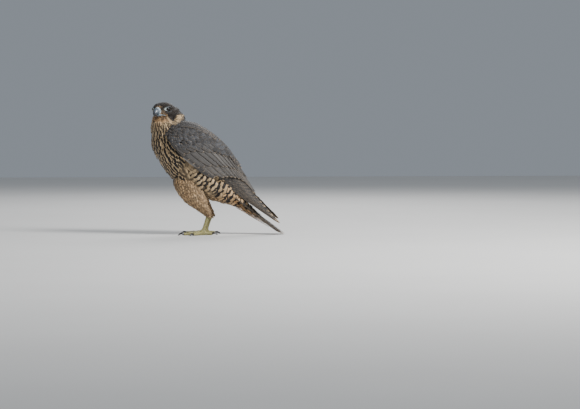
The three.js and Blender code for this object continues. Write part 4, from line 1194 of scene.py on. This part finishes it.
def buildBill(horn, cereSkin):
    upper = hornPiece("billUpper", bill["upper"], (70, 64), 0.08, bill["hornSunk"], 1)
    lower = hornPiece("billLower", bill["lower"], (40, 48), 0, 0, 0)
    share, angle = sheet(64, 168)
    share = lerp(0, bill["cereEnd"], share)
    swell = bill["cereSwell"] * np.sin(math.pi * np.clip(share / 0.23, 0, 1))
    swell = swell - bill["cereStep"] * smooth(share, 0.195, bill["cereEnd"])
    f, aside, h = billPoint(bill["upper"], share, angle, bill["cereProud"] + swell, 0)
    nostrilF, nostrilH, radius = bill["nostril"]
    # round the nostril: the hole, its raised rim and the peg inside it
    toNostril = np.where(np.abs(aside) > 4, np.hypot((f - nostrilF) * 0.85, h - nostrilH), 9)
    hole = bill["hole"] * (1 - smooth(toNostril, radius * 0.6, radius))
    rim = bill["holeRim"] * np.exp(-(((toNostril - radius * 1.25) / 0.35) ** 2))
    peg = bill["peg"] * (1 - smooth(toNostril, 0.1, 0.45))
    aside = aside + np.sign(aside) * (hole + rim + peg)
    forms = [closedRings(onHead(f, aside, h))]
    mouth = bill["mouth"]
    for side in (1, -1):  # the soft edge of the mouth, run back along the cheek
        run = np.linspace(0, 1, 16)
        mouthF, mouthH = lerp(mouth["front"], mouth["back"], run), mouth["height"] - run
        out = np.minimum(headSide(mouthF, mouthH), 9 + 14 * run) - 0.3
        path = onHead(mouthF, side * out, mouthH)
        forms.append(tubeAlong(path, np.sqrt(1 - mouth["thin"] * run), 12))
    cere = manyShells("cereSkin", forms)
    for piece, finish in ((upper, horn), (lower, horn), (cere, cereSkin)):
        outwards(piece)
        piece.data.materials.append(finish)
    return upper, lower, cere


def tubeAlong(path, radii, around):
    way = unit(np.gradient(path, axis=0))
    up = np.array([0.0, 0.0, 1.0]) + 0.001  # a touch off upright, so that an upright path has a side too
    first = unit(np.cross(way, up))
    second = np.cross(way, first)
    angle = np.linspace(0, 2 * math.pi, around, endpoint=False)[None, :, None]
    radii = np.asarray(radii, float)[:, None, None]
    spokes = np.cos(angle) * first[:, None] + np.sin(angle) * second[:, None]
    return closedRings(path[:, None] + radii * spokes)


# legs, toes and claws
legForm = {"top": (-12.9, 45), "radii": (4.2, 4.0, 3.5, 3.5, 4.9), "ankle": 6, "palm": 7.2, "splay": 8}
# heading in degrees, length, radius and number of pads
toes = {
    "middle": (4, 43, 3.9, 3), "inner": (-34, 28, 4, 2), "outer": (40, 33, 3.5, 3), "hind": (172, 20, 4, 1)}
toeTaper = (1.12, 0.72)
talon = {
    "length": 12.5, "radius": 2.3, "arch": 1.6, "taper": (1, 0.95, 0.8, 0.55, 0.2), "point": 0.4,
    "root": (1.7, 2.2), "steps": 32, "around": 20}


def toeLine(leg, toe, shares):  # the middle line of a toe and its way along the ground
    side, legX, legY = leg
    heading, length, radius, _ = toe
    turn = math.radians(side * (heading + legForm["splay"]))
    way = np.array([math.cos(turn), math.sin(turn), 0])
    high = radius * lerp(*toeTaper, shares)
    at = np.array([legX, side * legY, 0]) + way * (length * shares)[:, None]
    at[:, 2] = high
    return at, way


def buildLeg(leg, sideName, finish):
    side, legX, legY = leg
    shares = np.linspace(0, 1, 60)
    forms, lines = [], []
    for toe in toes.values():
        path, _ = toeLine(leg, toe, shares)
        pads = 0.9 + 0.26 * np.cos(math.pi * toe[3] * shares) ** 2
        forms.append(tubeAlong(path, path[:, 2] * pads, 28))
        lines.append((path, toe[1] * shares))
    top = np.array([legX + legForm["top"][0], side * legY, legForm["top"][1]])
    base = np.array([legX, side * legY, legForm["ankle"]])
    shank = lerp(top, base, shares[:, None])
    forms.append(tubeAlong(shank, np.interp(shares, np.linspace(0, 1, 5), legForm["radii"]), 32))
    lines.append((shank, np.linalg.norm(shank - top, axis=1)))
    forms += [ballAt(base, legForm["palm"]), ballAt(top, legForm["radii"][0])]
    whole = grownTogether(f"leg_{sideName}", forms, *meshing["leg"])
    points = pointsOf(whole)
    for vertex in np.flatnonzero(points[:, 2] < 0):  # nothing reaches below the floor
        whole.data.vertices[int(vertex)].co.z = 0
    path, run = np.concatenate([line[0] for line in lines]), np.concatenate([line[1] for line in lines])
    tree = treeOf(path)
    near = np.array([tree.find(p)[1] for p in points])
    onShank = near >= len(shares) * len(toes)
    away = unit(points - path[near])
    front = np.where(onShank, away[:, 0] * 0.95 + away[:, 2] * 0.3, away[:, 2])
    setAttribute(whole, "run", run[near])
    setAttribute(whole, "top", smooth(front, 0.25, 0.6))
    whole.data.materials.append(finish)
    return whole


def buildTalons(leg, sideName, finish):
    forms, tips = [], []
    for toe in toes.values():
        path, way = toeLine(leg, toe, np.array([0.9, 0.965, 1.0]))
        start = path[-1]
        stops = np.array([0, 0.4, 0.8, 1])
        heights = np.array([start[2], start[2] + talon["arch"], start[2] * 0.85, talon["point"]])
        shares = np.linspace(0, 1, talon["steps"])
        at = runThrough(np.stack([stops, heights], -1))(shares)
        line = start + way * (talon["length"] * at[:, 0])[:, None]
        line[:, 2] = at[:, 1]
        radii = talon["radius"] * np.interp(shares, np.linspace(0, 1, len(talon["taper"])), talon["taper"])
        radii = np.minimum(radii, line[:, 2] + 0.02)  # the claw lies on the ground, not in it
        line, radii = np.concatenate([path[:2], line]), np.concatenate([talon["root"], radii])
        forms.append(tubeAlong(line, radii, talon["around"]))
        tips.append(np.concatenate([np.repeat(np.linspace(0, 1, len(line)), talon["around"]), [0, 1]]))
    claws = manyShells(f"talons_{sideName}", forms)
    setAttribute(claws, "toTip", np.concatenate(tips))
    claws.data.materials.append(finish)
    return claws


def keep(piece, slotName, *nodes):
    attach(piece, "root")
    if nodes:
        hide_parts(*nodes)


print("stage: skin")
finishes = {
    "down": bodyPlumage("downySkin", False), "plume": bodyPlumage("bodyPlumage", True),
    "flight": flightPlumage("flightPlumage"), "vent": ventPlumage("ventPlumage"),
    "horn": hornFinish("billHorn", tints["horn"], tints["hornTip"], (0.45, 0.85), 0.3),
    "claw": hornFinish("clawHorn", tints["claw"], tints["clawTip"], (0.2, 0.9), 0.22),
    "cere": cereFinish("cereSkin", tints["cere"], tints["cereDeep"]),
    "orbit": cereFinish("orbitSkin", tints["orbit"], tints["orbitDeep"], tints["orbitPale"]),
    "leg": legFinish("legSkin"), "eye": eyeFinish(),
}
skin = buildSkin()
unwrap(skin)
marks = Marks()
at, normals, spots = skinPlaces(skin)
for key, value in marks.find(at).items():
    setAttribute(skin, key, value)
onSkin = marks.where
skin.data.materials.append(finishes["down"])
keep(skin, "plumage_front", "head", "neck", "torso", "thigh_left", "thigh_right")
print("skin faces", len(skin.data.polygons))

print("stage: coat")
tree = coatTree()
plumes = {key: plumeSet(f"{key}Plume", form) for key, form in plumeForms.items()}
wingGrid = np.meshgrid(np.linspace(0.05, 0.85, 90), np.linspace(0.07, 0.97, 30), indexing="ij")
underWing = treeOf(np.concatenate([wingPoint(side, *wingGrid, -7.0).reshape(-1, 3) for side in (1, -1)]))


def clearOfWing(points, reach):
    return np.array([underWing.find(p)[2] > reach for p in points])


bare = {
    "eye": 5.9, "oval": 1.12, "strip": 1.8, "stripLong": 8.8, "cheek": 8, "bill": 22.0,
    "billHigh": (-13, 7.6)}


def bareFace(points):  # round the eye, in front of it and where the bill stands
    f, side, h = headPlaces(points).T
    eyeF, _, eyeH = head["eye"]
    toEye = np.hypot((f - eyeF) / bare["oval"], h - eyeH)
    inStrip = np.abs(h - eyeH + 0.1 * (f - eyeF)) < bare["strip"]
    inFront = inStrip & (f > eyeF) & (f < eyeF + bare["stripLong"])
    onSide = np.abs(side) > bare["cheek"]
    low, high = bare["billHigh"]
    billEnd = (f > bare["bill"]) & (h < high) & (h > low)
    return (onSide & ((toEye < bare["eye"]) | inFront)) | billEnd


# the head, the hunched nape and the thighs are sown point by point, the trunk in rows
spacing = {"nape": 2.9, "head": 1.68, "face": 1.15, "thigh": (4.4, 3.4)}
lengths = {"head": 3.8, "face": 3.1, "thigh": (13.0, 11.0)}  # head in spacings, thigh in millimetres
lies = {"nape": (-0.75, 0, -0.75), "thigh": (-0.42, 0, -0.9)}
wingGap = {"thigh": 6.5, "trunk": 6.0}  # how far a root keeps from the folded wing
faceAt = headPlaces(at)
onHeadNow = onSkin["head"]
onNape = (at[:, 2] > 236) & (onSkin["angle"] > 1.45) & (onHeadNow < 0.7)
headZone = ((onHeadNow > 0.35) | onNape) & ~bareFace(at)
face = smooth(faceAt[:, 0], -4, 14) * onHeadNow
apart = lerp(lerp(spacing["nape"], spacing["head"], onHeadNow), spacing["face"], face)
aside, droop = 0.12 * np.sign(faceAt[:, 1]), -0.3 - 0.9 * smooth(-faceAt[:, 2], -4, 16)
headLie = np.stack([-np.ones(len(at)), aside, droop], -1) @ headTurn.T
napeLie = np.broadcast_to(lies["nape"], at.shape)
headLie = headLie * onHeadNow[:, None] + napeLie * (1 - onHeadNow)[:, None]
thighZone = (onSkin["thigh"] > 0.4) & clearOfWing(at, wingGap["thigh"])
thighLow = smooth(-at[:, 2], -75, -50)
thighLie = np.broadcast_to(lies["thigh"], at.shape)


def sown(zone, apart, lie, size, lifted):
    chosen = spaced(at, apart, zone)
    picked = at[chosen]
    return {
        "at": picked, "up": normals[chosen], "lie": lie[chosen], "size": size[chosen] * mm,
        "long": size[chosen], "raise": lifted[chosen], "spot": spots[chosen],
        "beat": 2 * math.pi * size[chosen] / 7.5, **marks.find(picked)}


def rowed(rows, where):
    share, angle, size = trunkRows(rows).T
    angle = (angle + math.pi) % (2 * math.pi) - math.pi
    wanted = where(share, np.abs(angle))
    share, angle, size = share[wanted], angle[wanted], size[wanted]
    guess = trunkPoint(share, angle, -trunk["coat"])
    skinTree = treeOf(at)
    found = [skinTree.find(p) for p in guess]
    near = np.array([hit[1] for hit in found])
    offSkin = np.array([hit[2] for hit in found])
    good = (offSkin < 2.2) & clearOfWing(guess, wingGap["trunk"]) & (onSkin["head"][near] < 0.6)
    good &= (onSkin["thigh"][near] < 0.5) & ~((guess[:, 2] > 238) & (np.abs(angle) > 1.5))
    near, share, angle, size, guess = near[good], share[good], angle[good], size[good], guess[good]
    onward = trunkPoint(share + 0.02, angle, 0) - trunkPoint(share - 0.02, angle, 0)
    sides = smooth(np.abs(angle), 0.6, 1.2) * (1 - smooth(np.abs(angle), 1.6, 2.0))
    onward[:, 1] *= 0.4
    return {
        "at": guess, "up": normals[near], "lie": unit(onward), "size": size * mm, "long": size,
        "spot": spots[near], "raise": 0.13 + 0.08 * sides, "beat": 2 * math.pi * size / rows["bars"],
        **marks.find(guess)}


def both(first, second):
    return {key: np.concatenate([value, second[key]]) for key, value in first.items()}


backFrom = 1.9  # the angle at which the back's feathers take over from the front's


def onFlank(share, angle):
    return (share > 0.4) & (angle > 0.75) & (angle < backFrom)


def onBreast(share, angle):
    return (angle < backFrom) & ~onFlank(share, angle)


thighSize = lerp(*lengths["thigh"], thighLow)
coats = {
    "head": (
        sown(headZone, apart, headLie, apart * lerp(lengths["head"], lengths["face"], face),
             lerp(0.24, 0.13, onHeadNow * smooth(faceAt[:, 0], -20, -4))),
        {"plumes": plumes["face"], "sway": 0.35, "slot": "plumage_head"}),
    "front": (
        both(
            rowed({"step": 7.0, "wide": 0.92, "long": 2.8, "bars": 9}, onBreast),
            rowed({"step": 9.8, "wide": 1.05, "long": 2.6, "bars": 12}, onFlank)),
        {"plumes": plumes["soft"], "sway": 0.16, "slot": "plumage_front"}),
    "back": (
        rowed({"step": 8.2, "wide": 1.1, "long": 2.5, "bars": 9}, lambda s, a: a >= backFrom),
        {"plumes": plumes["broad"], "sway": 0.1, "slot": "plumage_back"}),
    "thighs": (
        sown(thighZone, lerp(*spacing["thigh"], thighLow), thighLie, thighSize, 0.12 + 0.1 * thighLow),
        {"plumes": plumes["soft"], "sway": 0.18, "slot": "plumage_front"}),
}
for i, (part, (roots, look)) in enumerate(coats.items()):
    coat = growCoat(tree, f"coat_{part}", roots, {**look, "seed": 3 + i, "finish": finishes["plume"]})
    keep(coat, look["slot"])

print("stage: wings")
for sideName, side in (("left", 1), ("right", -1)):
    arm = wingArm(side, sideName)
    arm.data.materials.append(finishes["down"])
    look = {"plumes": plumes["broad"], "sway": 0.12, "seed": 21 + side, "finish": finishes["plume"]}
    small = growCoat(tree, f"coverts_{sideName}", covertRoots(side), look)
    for piece in [*wingFeathers(side, sideName, finishes["flight"]), small, arm]:
        keep(piece, "plumage_back", f"wing_{sideName}")

print("stage: tail")
keep(tailFeathers(finishes["flight"]), "plumage_back", "tail")
tuftMarks = {"bars": 0.55, "fringe": 0.8, "paleness": 0.3}
upper = tailCoverts("tailCovertsUpper", tailTufts["over"], tuftMarks, finishes["flight"])
keep(upper, "plumage_back", "tail")
under = tailCoverts("tailCovertsUnder", tailTufts["under"], tuftMarks, finishes["vent"])
keep(under, "plumage_front", "tail")

print("stage: face")
for sideName, side in (("left", 1), ("right", -1)):
    keep(eyeball(side, sideName, finishes["eye"]), "eye", f"eye_{sideName}")
    keep(orbitRing(side, sideName, finishes["orbit"]), "cere")
upper, lower, cere = buildBill(finishes["horn"], finishes["cere"])
keep(upper, "horn", "bill_upper")
keep(lower, "horn", "bill_lower")
keep(cere, "cere", "cere")

print("stage: legs")
for sideName, leg in thigh["legs"].items():
    keep(buildLeg(leg, sideName, finishes["leg"]), "leg_skin", f"tarsus_{sideName}", f"foot_{sideName}")
    clawNodes = [f"talon_{toe}_{sideName}" for toe in toes]
    keep(buildTalons(leg, sideName, finishes["claw"]), "claw", *clawNodes)
for kinds in plumes.values():
    for plume in list(kinds.objects):
        dropObject(plume)
    bpy.data.collections.remove(kinds)

# floor, light and camera
studio = {  # angles in degrees, distance in metres, the photo's scale and where the feet stand in it
    "azimuth": 174, "elevation": 2.5, "distance": 5.0, "pixel": 2.2, "photo": (580, 409), "feetColumn": 205,
    "floorRow": 234, "floorHalf": 4, "air": 0.34, "aimHigh": 0.12, "sensor": 36,
}
lamps = {  # place, size and power
    "key": ((-1.5, 1.3, 1.7), 0.9, 95), "fill": ((1.6, 1.6, 1.0), 1.6, 4),
    "rim": ((-0.4, -1.6, 1.6), 1.2, 26),
}


def buildFloor():
    f = Finish("paleFloor")
    paint = f.done(f.mix(tints["floor"], tints["floorCloud"], f.noise(grain["floor"], 2)), 0.85)
    half = studio["floorHalf"]
    mesh = bpy.data.meshes.new("floor")
    corners = [(-half, -half, 0), (half, -half, 0), (half, half, 0), (-half, half, 0)]
    mesh.from_pydata(corners, [], [(0, 1, 2, 3)])
    mesh.materials.append(paint)
    addObject("floor", mesh)


def buildLights():
    world = bpy.data.worlds.new("studioAir")
    world.use_nodes = True
    air = world.node_tree.nodes["Background"].inputs
    air["Color"].default_value = (*tints["air"], 1)
    air["Strength"].default_value = studio["air"]
    bpy.context.scene.world = world
    for name, (place, size, power) in lamps.items():
        lamp = bpy.data.lights.new(name, "AREA")
        lamp.size, lamp.energy = size, power
        light = addObject(name, lamp)
        light.location = place
        toBird = Vector((0, 0, studio["aimHigh"])) - Vector(place)
        light.rotation_euler = toBird.to_track_quat("-Z", "Y").to_euler()


def buildCamera():  # the photo's framing and scale, from near level
    azimuth, elevation = math.radians(studio["azimuth"]), math.radians(studio["elevation"])
    level = math.cos(elevation)
    outward = Vector((math.sin(azimuth) * level, -math.cos(azimuth) * level, math.sin(elevation)))
    width, height = studio["photo"]
    across = (width / 2 - studio["feetColumn"]) * studio["pixel"]
    high = (studio["floorRow"] - height / 2) * studio["pixel"]
    aim = Vector((-across / abs(math.cos(azimuth)) + shift[0], 0, high)) * mm
    lens = bpy.data.cameras.new("camera")
    lens.sensor_width = studio["sensor"]
    lens.lens = studio["sensor"] * studio["distance"] / (width * studio["pixel"] * mm)
    camera = addObject("camera", lens)
    camera.location = aim + outward * studio["distance"]
    camera.rotation_euler = (-outward).to_track_quat("-Z", "Y").to_euler()
    bpy.context.scene.camera = camera


buildFloor()
buildLights()
buildCamera()
